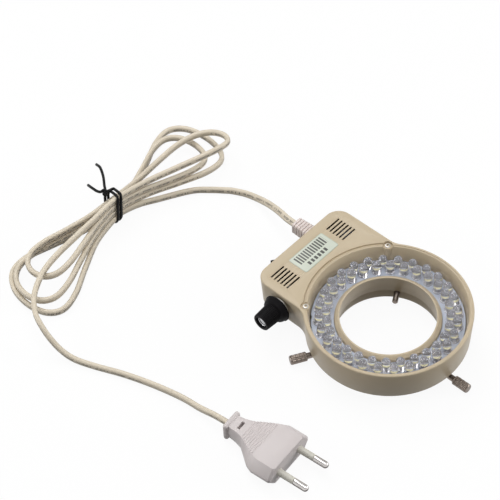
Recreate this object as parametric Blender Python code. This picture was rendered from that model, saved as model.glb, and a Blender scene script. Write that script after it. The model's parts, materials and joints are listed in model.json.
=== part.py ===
"""Microscope ring light with its driver box, mains cord and plug.

The light lies on its mounting collar with the LEDs facing up, as it does on a bench. The origin is the
centre of the bore in the plane of the collar's lower face, +Z points to the LED side and +Y to the
driver box. All sizes are in metres.
"""

import math

import bmesh
import bpy
from mathutils import Matrix, Vector

# Fits shared by all pieces
SEAT = 0.0003
OVERRUN = 0.002
MERGE = 0.00001
SMOOTH_ANGLE = math.radians(35)

# Housing: ring wall and box shell in one moulding
RING_RADIUS = 0.0472
TOP = 0.0278
SHELL_BOTTOM = 0.0089
WALL = 0.0018
DRAFT = 0.001
EDGE_ROUND = 0.0007
PLATE = 0.0018
BOX_CENTRE_X = 0.00296
BOX_HALF_WIDTH = 0.03557
BOX_RIGHT = BOX_CENTRE_X + BOX_HALF_WIDTH
BOX_LEFT = BOX_CENTRE_X - BOX_HALF_WIDTH
BOX_DEPTH = 0.02376
BOX_BACK = RING_RADIUS + BOX_DEPTH
BOX_CORNER = 0.009
BLEND_RADIUS = 0.012
RIM_DROP = 0.0004
CREASE_DEPTH = 0.0006
CREASE_WIDTH = 0.0005
WIRE_WINDOW = 0.016

# Cover screws in the LED side and their bosses
BOSS_DEPTH = 0.0016
BOSS_REACH = RING_RADIUS - BOSS_DEPTH
BOSS_ANGLES = (math.radians(40.5), math.radians(129.3))
BOSS_RADIUS = 0.003
POCKET_RADIUS = 0.0032
POCKET_DEPTH = 0.0019
SCREW_RADIUS = 0.001
SCREW_HEAD_RADIUS = 0.0018
SCREW_HEAD = 0.0009
POST_RADIUS = 0.0024
POST_TOP = 0.0154

# Vents in the box top
VENT_COUNT = 6
VENT_LENGTH = 0.0109
VENT_WIDTH = 0.001
VENT_PITCH = 0.00237
VENT_SIDE_GAP = 0.01187
VENT_SPREAD = BOX_HALF_WIDTH - VENT_SIDE_GAP
VENT_BACK_GAP = 0.00756
VENT_LAST_Y = BOX_BACK - VENT_BACK_GAP

# Base cover with its inner sleeve, and the mounting collar
BASE_PLATE = 0.002
SLEEVE_BORE = 0.0275
SLEEVE_WALL = 0.0015
SLEEVE_TOP = 0.0209
COLLAR_BORE = 0.0305
COLLAR_WALL = 0.005
COLLAR_CHAMFER = 0.0005
COLLAR_SCREW_REACH = COLLAR_BORE + COLLAR_WALL / 2
COLLAR_SCREW_DEPTH = 0.0051
FRONT_BOSS_DEPTH = 0.0046
FRONT_BOSS_REACH = RING_RADIUS - FRONT_BOSS_DEPTH
FRONT_BOSS_ANGLES = (math.radians(-60), math.radians(-120))
FRONT_BOSS_RADIUS = 0.0026
FRONT_BOSS_TOP = 0.0158
REAR_BOSS_GAP = 0.00596
REAR_BOSS = (0.0018, BOX_BACK - REAR_BOSS_GAP)
COUNTERBORE = 0.0012

# LED board and LEDs
BOARD_THICKNESS = 0.0016
LED_BOARD_TOP = 0.0179
LED_COUNT = 28
TROUGH_INNER = SLEEVE_BORE + SLEEVE_WALL
TROUGH_WIDTH = RING_RADIUS - WALL - TROUGH_INNER
OUTER_ROW_SHARE = 0.621951
INNER_ROW_SHARE = 0.335366
OUTER_ROW = TROUGH_INNER + TROUGH_WIDTH * OUTER_ROW_SHARE
INNER_ROW = TROUGH_INNER + TROUGH_WIDTH * INNER_ROW_SHARE
OUTER_LEAN = math.radians(7)
FIRST_LED = math.radians(44.6)
LED_RADIUS = 0.0025
LED_HEIGHT = 0.0086
LED_SINK = 0.0006
STANDOFF_RADIUS = 0.0016
STANDOFF_GAP = 0.001
STANDOFF_REACH = TROUGH_INNER + STANDOFF_GAP + STANDOFF_RADIUS

# Driver board and what is soldered to it
DRIVER_WIDTH = 0.015
DRIVER_SIDE_GAP = 0.00533
DRIVER_BOSS_GAP = 0.0018
DRIVER_BACK_GAP = 0.00646
DRIVER_RIGHT = BOX_RIGHT - DRIVER_SIDE_GAP
DRIVER_BACK = BOX_BACK - DRIVER_BACK_GAP
DRIVER_LEFT = REAR_BOSS[0] + FRONT_BOSS_RADIUS + DRIVER_BOSS_GAP
DRIVER_X = (DRIVER_LEFT, DRIVER_RIGHT)
DRIVER_Y = (DRIVER_BACK - DRIVER_WIDTH, DRIVER_BACK)
DRIVER_BOTTOM = 0.0129
FILM_CAPACITOR = (0.013, 0.0065, 0.0102)
FILM_CAPACITOR_SHARES = (0.733333, 0.38)
ELECTROLYTIC_RADIUS = 0.004
ELECTROLYTIC_HEIGHT = 0.0103
ELECTROLYTIC_SHARES = (0.2, 0.673333)
BRIDGE = (0.0082, 0.0044, 0.0026)
BRIDGE_SHARES = (0.222222, 0.18)
RESISTOR_RADIUS = 0.0012
RESISTOR_LENGTH = 0.0065
RESISTOR_SHARES = (0.766667, 0.8)

# Dimmer: potentiometer, its nut and the knob on the -X side
DIMMER_BACK_GAP = 0.01996
DIMMER_Y = BOX_BACK - DIMMER_BACK_GAP
DIMMER_Z = 0.0183
POT_RADIUS = 0.0065
POT_DEPTH = 0.008
BUSHING_RADIUS = 0.0037
SHAFT_RADIUS = 0.0029
SHAFT_CLEARANCE = 0.0002
WASHER_RADIUS = 0.0064
WASHER_THICKNESS = 0.0006
NUT_RADIUS = 0.0055
NUT_THICKNESS = 0.002
KNOB_GAP = 0.0021
KNOB_LENGTH = 0.0143
SKIRT_RADIUS = 0.0088
SKIRT_LENGTH = 0.0046
GRIP_RADIUS = 0.0066
GRIP_TAPER = 0.0005
FLUTES = 18
FLUTE_DEPTH = 0.00035
INSERT_RADIUS = 0.0046
INSERT_THICKNESS = 0.0007

# Rocker switch on the +Y side
SWITCH_X = -0.0095
SWITCH_Z = 0.0181
BEZEL = (0.0172, 0.0124, 0.0018)
SWITCH_BODY = (0.0148, 0.0098, 0.0098)
ROCKER_RADIUS = 0.0063
ROCKER_WIDTH = 0.0076
ROCKER_MID = 0.0015
ROCKER_DEPTH = 0.0013
ROCKER_CREST = math.radians(24)
ROCKER_TILT = math.radians(10)

# Cord gland on the +Y side
GLAND_X = 0.02
GLAND_Z = 0.015
GLAND_RADIUS = 0.0053
GLAND_NECK = 0.0033
GLAND_LOCK = 0.0038
GLAND_FLANGE = 0.0022
GLAND_LENGTH = 0.01624
GLAND_END = BOX_BACK + GLAND_LENGTH
GLAND_TIP_RADIUS = 0.0031
GLAND_RIBS = 4

# Thumbscrews in the collar
THUMBSCREW_ANGLES = (
    ("thumbscrew_front", math.radians(-90)),
    ("thumbscrew_right", math.radians(30)),
    ("thumbscrew_left", math.radians(150)),
)
THUMBSCREW_Z = 0.004
THUMBSCREW_TIP_LENGTH = 0.0073
THUMBSCREW_TIP = COLLAR_BORE - THUMBSCREW_TIP_LENGTH
THUMBSCREW_SHANK = 0.0015
THUMBSCREW_NECK = 0.0021
HEAD_LENGTH = 0.0103
HEAD_START = RING_RADIUS
HEAD_END = HEAD_START + HEAD_LENGTH
HEAD_RADIUS = 0.0027
KNURLS = 12
KNURL_DEPTH = 0.00025

# Label on the box top
LABEL = (0.0277, 0.0134, 0.00015)
LABEL_BACK_GAP = 0.01366
LABEL_AT = (0.0034, BOX_BACK - LABEL_BACK_GAP)
LABEL_CORNER = 0.002

# Plug, seen from above: the middle of its pin face and the way its pins point
PLUG_FACE = (-0.1006, -0.0166, 0.0069)
PLUG_HEADING = math.radians(-84.5)
PLUG_LENGTH = 0.0385
PLUG_HALF_WIDTH = 0.01765
PLUG_HALF_THICK = 0.00685
PLUG_FLANGE = (0.0115, 0.0105, 0.0028)
PIN_PITCH = 0.018
PIN_RADIUS = 0.002
PIN_CORE = 0.0013
PIN_LENGTH = 0.019
PIN_SLEEVE = 0.01
PIN_SLEEVE_BORE = 0.0016
# Distance behind the face, then half width at the middle, half width of the flat and half thickness
PLUG_SECTION_SHARES = (
    (0.0, 0.95, 0.69, 0.93),
    (0.03, 1.0, 0.74, 1.0),
    (0.32, 1.0, 0.74, 1.0),
    (0.45, 0.88, 0.64, 1.0),
    (0.58, 0.64, 0.49, 0.97),
    (0.72, 0.42, 0.34, 0.9),
    (0.86, 0.32, 0.27, 0.78),
    (1.0, 0.29, 0.25, 0.72),
)

# Cord: one flat two-core lead, drawn as a round tube of about its mean width
CORD_RADIUS = 0.0019
LAYER = 0.0045
FLOOR_GAP = 0.0002
TIE_RADIUS = 0.0008
TIE_GAP = 0.0007
TIE_TURNS = 2
TIE_PITCH = 0.0022
# Free ends of the tie past the knot, as shares of the bundle's height: along, across and up
TIE_END_SHARES = ((0.9, 1.35, 0.3), (0.35, 1.1, 0.55))
WAIST_HALF = 0.0023
WAIST_LIFT_REACH = 0.03
HANK_CENTRE = (-0.037, 0.181)
HANK_REACH = 0.082
HANK_HALF_WIDTH = 0.022
# For each lobe: reach, half width and sideways set of its tip, as shares of the hank's reach and half width
LEFT_LOBE_SHARES = ((0.99, 0.95, -0.46), (0.965, 0.7, -0.36), (0.82, 0.48, -0.1))
RIGHT_LOBE_SHARES = ((1.0, 1.0, 0.18), (0.855, 0.74, 0.1), (1.0, 0.5, -0.55))
TOP_LOOP_RISE = 0.008
CLIMB_START = math.radians(95)
CLIMB_END = math.radians(132)
POINTS_PER_LOBE = 12
WIDEST_SHARE = 0.385

# Route of the cord on the floor, in world metres: gland to hank, into the hank, out of it, and on to the plug
LEAD_ROUTE = (
    (0.0200, 0.0876, 0.0150),
    (0.0203, 0.0940, 0.0148),
    (0.0226, 0.1030, 0.0128),
    (0.0256, 0.1135, 0.0085),
    (0.0276, 0.1240, 0.0040),
    (0.0268, 0.1335, 0.0022),
    (0.0232, 0.1415, 0.0021),
)
ENTRY_ROUTE = (
    (0.0232, 0.1415),
    (0.0206, 0.1452),
    (0.0150, 0.1523),
    (0.0070, 0.1604),
    (-0.0102, 0.1703),
    (-0.0230, 0.1760),
)
EXIT_ROUTE = (
    (-0.0560, 0.1779),
    (-0.0720, 0.1770),
    (-0.0880, 0.1752),
    (-0.1010, 0.1722),
    (-0.1120, 0.1668),
    (-0.1195, 0.1610),
    (-0.1248, 0.1545),
    (-0.1272, 0.1505),
)
TAIL_ROUTE = (
    (-0.1272, 0.1505, 0.0156),
    (-0.1290, 0.1455, 0.0146),
    (-0.1301, 0.1385, 0.0106),
    (-0.1298, 0.1300, 0.0056),
    (-0.1280, 0.1210, 0.0027),
    (-0.1236, 0.1090, 0.0021),
    (-0.1165, 0.0920, 0.0021),
    (-0.1107, 0.0740, 0.0021),
    (-0.1068, 0.0570, 0.0022),
    (-0.1060, 0.0440, 0.0036),
    (-0.1054, 0.0330, 0.0064),
    (-0.1045, 0.0234, 0.0069),
)
CORD_STEP = 0.0042


# Helpers for materials, meshes and nodes


def clear_scene():
    for item in list(bpy.data.objects):
        bpy.data.objects.remove(item, do_unlink=True)


def material(name, colour, roughness, metallic=0.0, alpha=1.0):
    made = bpy.data.materials.new(name)
    made.use_nodes = True
    shader = made.node_tree.nodes["Principled BSDF"]
    shader.inputs["Base Color"].default_value = (*colour, 1.0)
    shader.inputs["Roughness"].default_value = roughness
    shader.inputs["Metallic"].default_value = metallic
    shader.inputs["Alpha"].default_value = alpha
    made.diffuse_color = (*colour, alpha)
    return made


def add_object(name, shape, finish=None, parent=None):
    mesh = bpy.data.meshes.new(name)
    bmesh.ops.recalc_face_normals(shape, faces=shape.faces)
    shape.to_mesh(mesh)
    shape.free()
    made = bpy.data.objects.new(name, mesh)
    bpy.context.scene.collection.objects.link(made)
    if finish:
        mesh.materials.append(finish)
        mesh.shade_smooth()
        mesh.set_sharp_from_angle(angle=SMOOTH_ANGLE)
    if parent:
        made.parent = parent
    return made


def add_cutter(name, shape, parent=None):
    made = add_object(name, shape, parent=parent)
    made.hide_render = True
    made.display_type = "WIRE"
    return made


def add_pivot(name, place):
    pivot = bpy.data.objects.new(name, None)
    pivot.location = place
    bpy.context.scene.collection.objects.link(pivot)
    return pivot


def combine(target, other, operation="DIFFERENCE"):
    step = target.modifiers.new(other.name, "BOOLEAN")
    step.operation = operation
    step.solver = "EXACT"
    step.object = other


# Helpers for forms


def turned(profile, steps, sweep=math.tau):
    """A profile of (radius, height) turned about Z. One that starts and ends on the axis stays open there."""
    shape = bmesh.new()
    points = [shape.verts.new((radius, 0, height)) for radius, height in profile]
    links = list(zip(points, points[1:]))
    if profile[0][0] > 0 or profile[-1][0] > 0:
        links.append((points[-1], points[0]))
    edges = [shape.edges.new(link) for link in links]
    whole = sweep == math.tau
    if not whole:
        shape.faces.new(points)
    bmesh.ops.spin(
        shape,
        geom=list(shape.verts) + edges + list(shape.faces),
        axis=(0, 0, 1),
        cent=(0, 0, 0),
        angle=sweep,
        steps=steps,
        use_merge=whole,
    )
    bmesh.ops.remove_doubles(shape, verts=shape.verts, dist=MERGE)
    bmesh.ops.recalc_face_normals(shape, faces=shape.faces)
    return shape


def lofted(rings):
    """A closed body through rings of as many points each, with flat ends."""
    shape = bmesh.new()
    rows = [[shape.verts.new(point) for point in ring] for ring in rings]
    for low, high in zip(rows, rows[1:]):
        for index, corner in enumerate(low):
            after = (index + 1) % len(low)
            shape.faces.new((corner, low[after], high[after], high[index]))
    shape.faces.new(rows[0][::-1])
    shape.faces.new(rows[-1])
    bmesh.ops.recalc_face_normals(shape, faces=shape.faces)
    return shape


def prism(outline, low, high):
    return lofted([[(x, y, z) for x, y in outline] for z in (low, high)])


def block(low, high):
    corners = [(low[0], low[1]), (high[0], low[1]), (high[0], high[1]), (low[0], high[1])]
    return prism(corners, low[2], high[2])


def rod(radius, low, high, steps):
    return turned([(0, low), (radius, low), (radius, high), (0, high)], steps)


def moved(shape, place, turn=None):
    if turn:
        shape.transform(turn)
    shape.transform(Matrix.Translation(place))
    return shape


def joined(shapes):
    """One mesh that holds separate bodies."""
    whole = bmesh.new()
    for shape in shapes:
        piece = bpy.data.meshes.new("piece")
        shape.to_mesh(piece)
        shape.free()
        whole.from_mesh(piece)
        bpy.data.meshes.remove(piece)
    return whole


def arc(centre, radius, start, end, steps):
    angles = [start + (end - start) * index / steps for index in range(steps + 1)]
    return [
        (centre[0] + radius * math.cos(angle), centre[1] + radius * math.sin(angle))
        for angle in angles
    ]


def rounded_rectangle(length, width, corner, steps):
    points = []
    for turn, (side, end) in enumerate(((1, 1), (-1, 1), (-1, -1), (1, -1))):
        centre = (side * (length / 2 - corner), end * (width / 2 - corner))
        points += arc(centre, corner, turn * math.pi / 2, (turn + 1) * math.pi / 2, steps)
    return points


def slot_outline(length, width):
    """A slot along X with round ends."""
    middle = (length - width) / 2
    points = arc((middle, 0), width / 2, -math.pi / 2, math.pi / 2, 4)
    return points + arc((-middle, 0), width / 2, math.pi / 2, math.pi * 3 / 2, 4)


def polar(reach, angle, height=0.0):
    return Vector((reach * math.cos(angle), reach * math.sin(angle), height))


ALONG_X = Matrix.Rotation(math.pi / 2, 4, "Y")
ALONG_MINUS_X = Matrix.Rotation(-math.pi / 2, 4, "Y")
ALONG_Y = Matrix.Rotation(-math.pi / 2, 4, "X")


# Housing


def draft_at(height):
    return DRAFT * (TOP - height) / (TOP - SHELL_BOTTOM)


def housing_outline(inset):
    """The ring's circle, the box and the hollow blends between them, moved inwards by inset."""
    reach = RING_RADIUS + BLEND_RADIUS
    right_blend = (BOX_RIGHT + BLEND_RADIUS, math.sqrt(reach**2 - (BOX_RIGHT + BLEND_RADIUS) ** 2))
    left_blend = (BOX_LEFT - BLEND_RADIUS, math.sqrt(reach**2 - (BOX_LEFT - BLEND_RADIUS) ** 2))
    right_angle = math.atan2(right_blend[1], right_blend[0])
    left_angle = math.atan2(left_blend[1], left_blend[0])
    blend = BLEND_RADIUS + inset
    corner = BOX_CORNER - inset
    points = arc((0, 0), RING_RADIUS - inset, left_angle, right_angle + math.tau, 52)
    points += arc(right_blend, blend, right_angle + math.pi, math.pi, 4)[1:]
    points += arc((BOX_RIGHT - BOX_CORNER, BOX_BACK - BOX_CORNER), corner, 0, math.pi / 2, 6)
    points += arc((BOX_LEFT + BOX_CORNER, BOX_BACK - BOX_CORNER), corner, math.pi / 2, math.pi, 6)
    points += arc(left_blend, blend, 0, left_angle - math.pi, 4)[:-1]
    return points


def box_outline(inset):
    """The box's inside, closed by the ring wall's outer face."""
    right = BOX_RIGHT - inset
    left = BOX_LEFT + inset
    right_angle = math.acos(right / RING_RADIUS)
    left_angle = math.acos(left / RING_RADIUS)
    corner = BOX_CORNER - inset
    back = BOX_BACK - inset
    points = arc((0, 0), RING_RADIUS, left_angle, right_angle, 14)
    points += arc((right - corner, back - corner), corner, 0, math.pi / 2, 5)
    points += arc((left + corner, back - corner), corner, math.pi / 2, math.pi, 5)
    return points


def at_height(outline, height):
    return [(x, y, height) for x, y in outline]


def boss_places():
    return [polar(BOSS_REACH, angle) for angle in BOSS_ANGLES]


def front_boss_places():
    return [polar(FRONT_BOSS_REACH, angle) for angle in FRONT_BOSS_ANGLES]


def base_screw_places():
    return front_boss_places() + [Vector((*REAR_BOSS, 0))]


def housing_shell():
    levels = [(SHELL_BOTTOM, 0.0), (TOP - EDGE_ROUND, 0.0)]
    for part in (1, 2, 3):
        angle = part * math.pi / 6
        rise = EDGE_ROUND * math.sin(angle)
        levels.append((TOP - EDGE_ROUND + rise, EDGE_ROUND * (1 - math.cos(angle))))
    rings = [at_height(housing_outline(draft_at(z) + inset), z) for z, inset in levels]
    return lofted(rings)


def housing_hollows():
    """Cutters for the trough, the box, the seat of the base plate and the sockets of its posts."""
    low = SHELL_BOTTOM - OVERRUN
    high = TOP + OVERRUN
    trough_top = RING_RADIUS - WALL
    trough_low = trough_top - DRAFT / 2
    trough = turned([(0, low), (trough_low, low), (trough_top, high), (0, high)], 72)
    seat_top = SHELL_BOTTOM + BASE_PLATE + SEAT
    ceiling = TOP - PLATE
    box = lofted(
        [at_height(box_outline(WALL + draft_at(z)), z) for z in (seat_top - SEAT, ceiling)]
    )
    seat = prism(housing_outline(WALL + DRAFT), low, seat_top)
    sockets = [
        moved(rod(POST_RADIUS + SEAT, low, POST_TOP + SEAT, 22), place) for place in boss_places()
    ]
    return trough, box, seat, joined(sockets)


def rim_step():
    """Cutter for the lowered rim and the crease between the ring and the box top."""
    inner = RING_RADIUS - WALL - OVERRUN
    ledge = TOP - RIM_DROP
    groove = TOP - RIM_DROP - CREASE_DEPTH
    high = TOP + OVERRUN
    profile = [
        (inner, ledge),
        (RING_RADIUS - CREASE_WIDTH, ledge),
        (RING_RADIUS - CREASE_WIDTH, groove),
        (RING_RADIUS, groove),
        (RING_RADIUS, high),
        (inner, high),
    ]
    start = BOSS_ANGLES[0] - math.radians(1)
    sweep = BOSS_ANGLES[1] - BOSS_ANGLES[0] + math.radians(2)
    step = turned(profile, 26, sweep)
    step.transform(Matrix.Rotation(start, 4, "Z"))
    return step


def housing_bosses():
    """Bosses for the cover screws, the front screws and the rear screw."""
    bosses = [
        moved(rod(BOSS_RADIUS, POST_TOP + 2 * SEAT, TOP - POCKET_DEPTH / 2, 20), place)
        for place in boss_places()
    ]
    root = SHELL_BOTTOM + BASE_PLATE / 2
    bosses += [
        moved(rod(FRONT_BOSS_RADIUS, root, FRONT_BOSS_TOP, 20), place)
        for place in front_boss_places()
    ]
    rear = rod(FRONT_BOSS_RADIUS, root, TOP - PLATE / 2, 20)
    bosses.append(moved(rear, (*REAR_BOSS, 0)))
    return joined(bosses)


def housing_screw_holes():
    pocket_floor = TOP - POCKET_DEPTH
    hole = SCREW_RADIUS + SEAT
    cover_profile = [
        (0, SHELL_BOTTOM),
        (hole, SHELL_BOTTOM),
        (hole, pocket_floor),
        (POCKET_RADIUS, pocket_floor),
        (POCKET_RADIUS, TOP + OVERRUN),
        (0, TOP + OVERRUN),
    ]
    holes = [moved(turned(cover_profile, 16), place) for place in boss_places()]
    depth = FRONT_BOSS_TOP - BASE_PLATE / 2
    holes += [moved(rod(hole, SHELL_BOTTOM, depth, 12), place) for place in base_screw_places()]
    return joined(holes)


def vent_slots():
    slots = []
    for side in (-1, 1):
        for index in range(VENT_COUNT):
            outline = slot_outline(VENT_LENGTH, VENT_WIDTH)
            slot = prism(outline, TOP - PLATE - OVERRUN, TOP + OVERRUN)
            place = (BOX_CENTRE_X + side * VENT_SPREAD, VENT_LAST_Y - index * VENT_PITCH, 0)
            slots.append(moved(slot, place))
    return joined(slots)


def side_holes():
    """Cutter for the wire window, the dimmer's bushing, the switch and the gland."""
    wall_y = BOX_BACK - WALL - DRAFT
    window_bottom = SHELL_BOTTOM + BASE_PLATE
    window = block(
        (-WIRE_WINDOW / 2, RING_RADIUS - WALL - OVERRUN, window_bottom),
        (WIRE_WINDOW / 2, RING_RADIUS + OVERRUN, POST_TOP),
    )
    bushing = rod(BUSHING_RADIUS + SEAT, -OVERRUN, WALL + DRAFT + OVERRUN, 24)
    moved(bushing, (BOX_LEFT, DIMMER_Y, DIMMER_Z), ALONG_X)
    switch = block(
        (SWITCH_X - SWITCH_BODY[0] / 2 - SEAT, wall_y - OVERRUN, SWITCH_Z - SWITCH_BODY[1] / 2 - SEAT),
        (SWITCH_X + SWITCH_BODY[0] / 2 + SEAT, BOX_BACK + OVERRUN, SWITCH_Z + SWITCH_BODY[1] / 2 + SEAT),
    )
    gland = rod(GLAND_NECK + SEAT, wall_y - OVERRUN, BOX_BACK + OVERRUN, 24)
    moved(gland, (GLAND_X, 0, GLAND_Z), ALONG_Y)
    return joined([window, bushing, switch, gland])


def build_housing(finish):
    housing = add_object("housing", housing_shell(), finish)
    trough, box, seat, sockets = housing_hollows()
    combine(housing, add_cutter("trough_cutter", trough))
    combine(housing, add_cutter("box_cutter", box))
    combine(housing, add_cutter("boss_guide", housing_bosses()), "UNION")
    combine(housing, add_cutter("seat_cutter", seat))
    combine(housing, add_cutter("socket_cutter", sockets))
    combine(housing, add_cutter("rim_cutter", rim_step()))
    combine(housing, add_cutter("screw_hole_cutter", housing_screw_holes()))
    combine(housing, add_cutter("vent_cutter", vent_slots()))
    combine(housing, add_cutter("side_hole_cutter", side_holes()))


# Base cover, mounting collar and their screws


def base_posts():
    top = SHELL_BOTTOM + BASE_PLATE
    root = top - BASE_PLATE / 2
    posts = [moved(rod(POST_RADIUS, root, POST_TOP, 20), place) for place in boss_places()]
    board_bottom = LED_BOARD_TOP - BOARD_THICKNESS
    for quarter in range(4):
        post = rod(STANDOFF_RADIUS, root, board_bottom - SEAT, 12)
        posts.append(moved(post, polar(STANDOFF_REACH, (quarter + 0.5) * math.pi / 2)))
    for x in driver_post_places():
        post = rod(STANDOFF_RADIUS, root, DRIVER_BOTTOM - SEAT, 12)
        posts.append(moved(post, (x, sum(DRIVER_Y) / 2, 0)))
    return posts


def driver_post_places():
    return (DRIVER_X[0] + 2 * STANDOFF_RADIUS, DRIVER_X[1] - 2 * STANDOFF_RADIUS)


def collar_screw_places():
    return [polar(COLLAR_SCREW_REACH, math.radians(90 + 120 * index)) for index in range(3)]


def build_base_cover(finish):
    top = SHELL_BOTTOM + BASE_PLATE
    plate = prism(housing_outline(WALL + DRAFT + SEAT), SHELL_BOTTOM, top)
    base = add_object("base_cover", plate, finish)
    outer = SLEEVE_BORE + SLEEVE_WALL
    root = top - BASE_PLATE / 2
    sleeve = turned(
        [
            (SLEEVE_BORE, root),
            (outer, root),
            (outer, SLEEVE_TOP - SLEEVE_WALL / 3),
            (outer - SLEEVE_WALL / 3, SLEEVE_TOP),
            (SLEEVE_BORE, SLEEVE_TOP),
        ],
        60,
    )
    bore = rod(SLEEVE_BORE, SHELL_BOTTOM - OVERRUN, SLEEVE_TOP + OVERRUN, 60)
    combine(base, add_cutter("sleeve_guide", joined([sleeve] + base_posts())), "UNION")
    combine(base, add_cutter("base_bore_cutter", bore))
    combine(base, add_cutter("base_hole_cutter", base_holes()))


def base_holes():
    hole = SCREW_RADIUS + SEAT
    low = SHELL_BOTTOM - OVERRUN
    head = SCREW_HEAD_RADIUS + SEAT
    profile = [
        (0, low),
        (head, low),
        (head, SHELL_BOTTOM + COUNTERBORE),
        (hole, SHELL_BOTTOM + COUNTERBORE),
        (hole, SHELL_BOTTOM + BASE_PLATE + OVERRUN),
        (0, SHELL_BOTTOM + BASE_PLATE + OVERRUN),
    ]
    holes = [moved(turned(profile, 14), place) for place in base_screw_places()]
    tapped = [rod(hole, SHELL_BOTTOM + BASE_PLATE / 2, POST_TOP + OVERRUN, 12) for _ in BOSS_ANGLES]
    holes += [moved(shape, place) for shape, place in zip(tapped, boss_places())]
    through = SHELL_BOTTOM + BASE_PLATE + OVERRUN
    holes += [moved(rod(hole, low, through, 12), place) for place in collar_screw_places()]
    return joined(holes)


def build_collar(finish):
    outer = COLLAR_BORE + COLLAR_WALL
    top = SHELL_BOTTOM - SEAT
    profile = [
        (COLLAR_BORE + COLLAR_CHAMFER, 0),
        (outer - COLLAR_CHAMFER, 0),
        (outer, COLLAR_CHAMFER),
        (outer, top),
        (COLLAR_BORE, top),
        (COLLAR_BORE, COLLAR_CHAMFER),
    ]
    collar = add_object("mount_collar", turned(profile, 60), finish)
    holes = []
    for _, angle in THUMBSCREW_ANGLES:
        hole = rod(THUMBSCREW_SHANK + SEAT, COLLAR_BORE - OVERRUN, outer + OVERRUN, 16)
        hole.transform(Matrix.Rotation(angle, 4, "Z") @ ALONG_X)
        holes.append(moved(hole, (0, 0, THUMBSCREW_Z)))
    blind = top - COLLAR_SCREW_DEPTH - SEAT
    for place in collar_screw_places():
        holes.append(moved(rod(SCREW_RADIUS + SEAT, blind, top + OVERRUN, 12), place))
    combine(collar, add_cutter("collar_hole_cutter", joined(holes)))


def screw(head_low, head_high, tip):
    """A pan-head screw on Z: the head from head_low to head_high, the shank to tip on either side of it."""
    head = SCREW_HEAD_RADIUS
    if tip < head_low:
        crown = (head_high - head_low) / 2
        profile = [
            (0, tip),
            (SCREW_RADIUS * 0.5, tip),
            (SCREW_RADIUS, tip + SCREW_RADIUS),
            (SCREW_RADIUS, head_low),
            (head, head_low),
            (head, head_low + crown),
            (head - crown, head_high),
            (0, head_high),
        ]
    else:
        profile = [
            (0, head_low),
            (head, head_low),
            (head, head_high),
            (SCREW_RADIUS, head_high),
            (SCREW_RADIUS, tip - SCREW_RADIUS),
            (SCREW_RADIUS * 0.5, tip),
            (0, tip),
        ]
    return turned(profile, 12)


def add_screws(name, places, sizes, finish):
    for number, place in enumerate(places, 1):
        add_object(f"{name}_{number}", screw(*sizes), finish).location = place


def build_screws(finish):
    floor = TOP - POCKET_DEPTH + SEAT
    low = SHELL_BOTTOM + BASE_PLATE
    add_screws("cover_screw", boss_places(), (floor, floor + SCREW_HEAD, low), finish)
    head_high = SHELL_BOTTOM + COUNTERBORE - SEAT
    tip = FRONT_BOSS_TOP - BASE_PLATE / 2 - SEAT
    add_screws("base_screw", base_screw_places(), (SHELL_BOTTOM, head_high, tip), finish)
    seat = SHELL_BOTTOM + BASE_PLATE + SEAT
    tip = SHELL_BOTTOM - SEAT - COLLAR_SCREW_DEPTH
    add_screws("collar_screw", collar_screw_places(), (seat, seat + SCREW_HEAD, tip), finish)


# LED board and LEDs


def build_led_board(finish):
    inner = SLEEVE_BORE + SLEEVE_WALL + SEAT
    outer = RING_RADIUS - WALL - DRAFT / 2 - SEAT
    low = LED_BOARD_TOP - BOARD_THICKNESS
    profile = [(inner, low), (outer, low), (outer, LED_BOARD_TOP), (inner, LED_BOARD_TOP)]
    board = add_object("led_board", turned(profile, 60), finish)
    notches = [
        moved(rod(BOSS_RADIUS + SEAT, low - OVERRUN, LED_BOARD_TOP + OVERRUN, 20), place)
        for place in boss_places()
    ]
    combine(board, add_cutter("board_notch_cutter", joined(notches)))
    half_pitch = math.tau / LED_COUNT / 2
    outer_row = led_row(OUTER_ROW, FIRST_LED, OUTER_LEAN)
    combine(board, add_cutter("outer_led_guide", joined(outer_row)), "UNION")
    inner_row = led_row(INNER_ROW, FIRST_LED - half_pitch, 0.0)
    combine(board, add_cutter("inner_led_guide", joined(inner_row)), "UNION")


def led():
    """A 5 mm LED, soldered flat on the board: body and dome."""
    body = LED_HEIGHT - LED_RADIUS
    half = math.radians(50)
    profile = [
        (0, -LED_SINK),
        (LED_RADIUS, -LED_SINK),
        (LED_RADIUS, body),
        (LED_RADIUS * math.cos(half), body + LED_RADIUS * math.sin(half)),
        (0, LED_HEIGHT),
    ]
    return turned(profile, 8)


def led_row(reach, first, lean):
    leds = []
    for index in range(LED_COUNT):
        angle = first + math.tau * index / LED_COUNT
        turn = Matrix.Rotation(angle, 4, "Z") @ Matrix.Rotation(-lean, 4, "Y")
        leds.append(moved(led(), polar(reach, angle, LED_BOARD_TOP), turn))
    return leds


# Driver board and its wires


def on_driver(shares):
    """A place on the driver board, as shares of its sides from the corner at the right and back walls."""
    return (
        DRIVER_X[1] - (DRIVER_X[1] - DRIVER_X[0]) * shares[0],
        DRIVER_Y[1] - (DRIVER_Y[1] - DRIVER_Y[0]) * shares[1],
    )


def component(size, shares):
    place = on_driver(shares)
    low = DRIVER_BOTTOM + BOARD_THICKNESS + SEAT
    return block(
        (place[0] - size[0] / 2, place[1] - size[1] / 2, low),
        (place[0] + size[0] / 2, place[1] + size[1] / 2, low + size[2]),
    )


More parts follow.
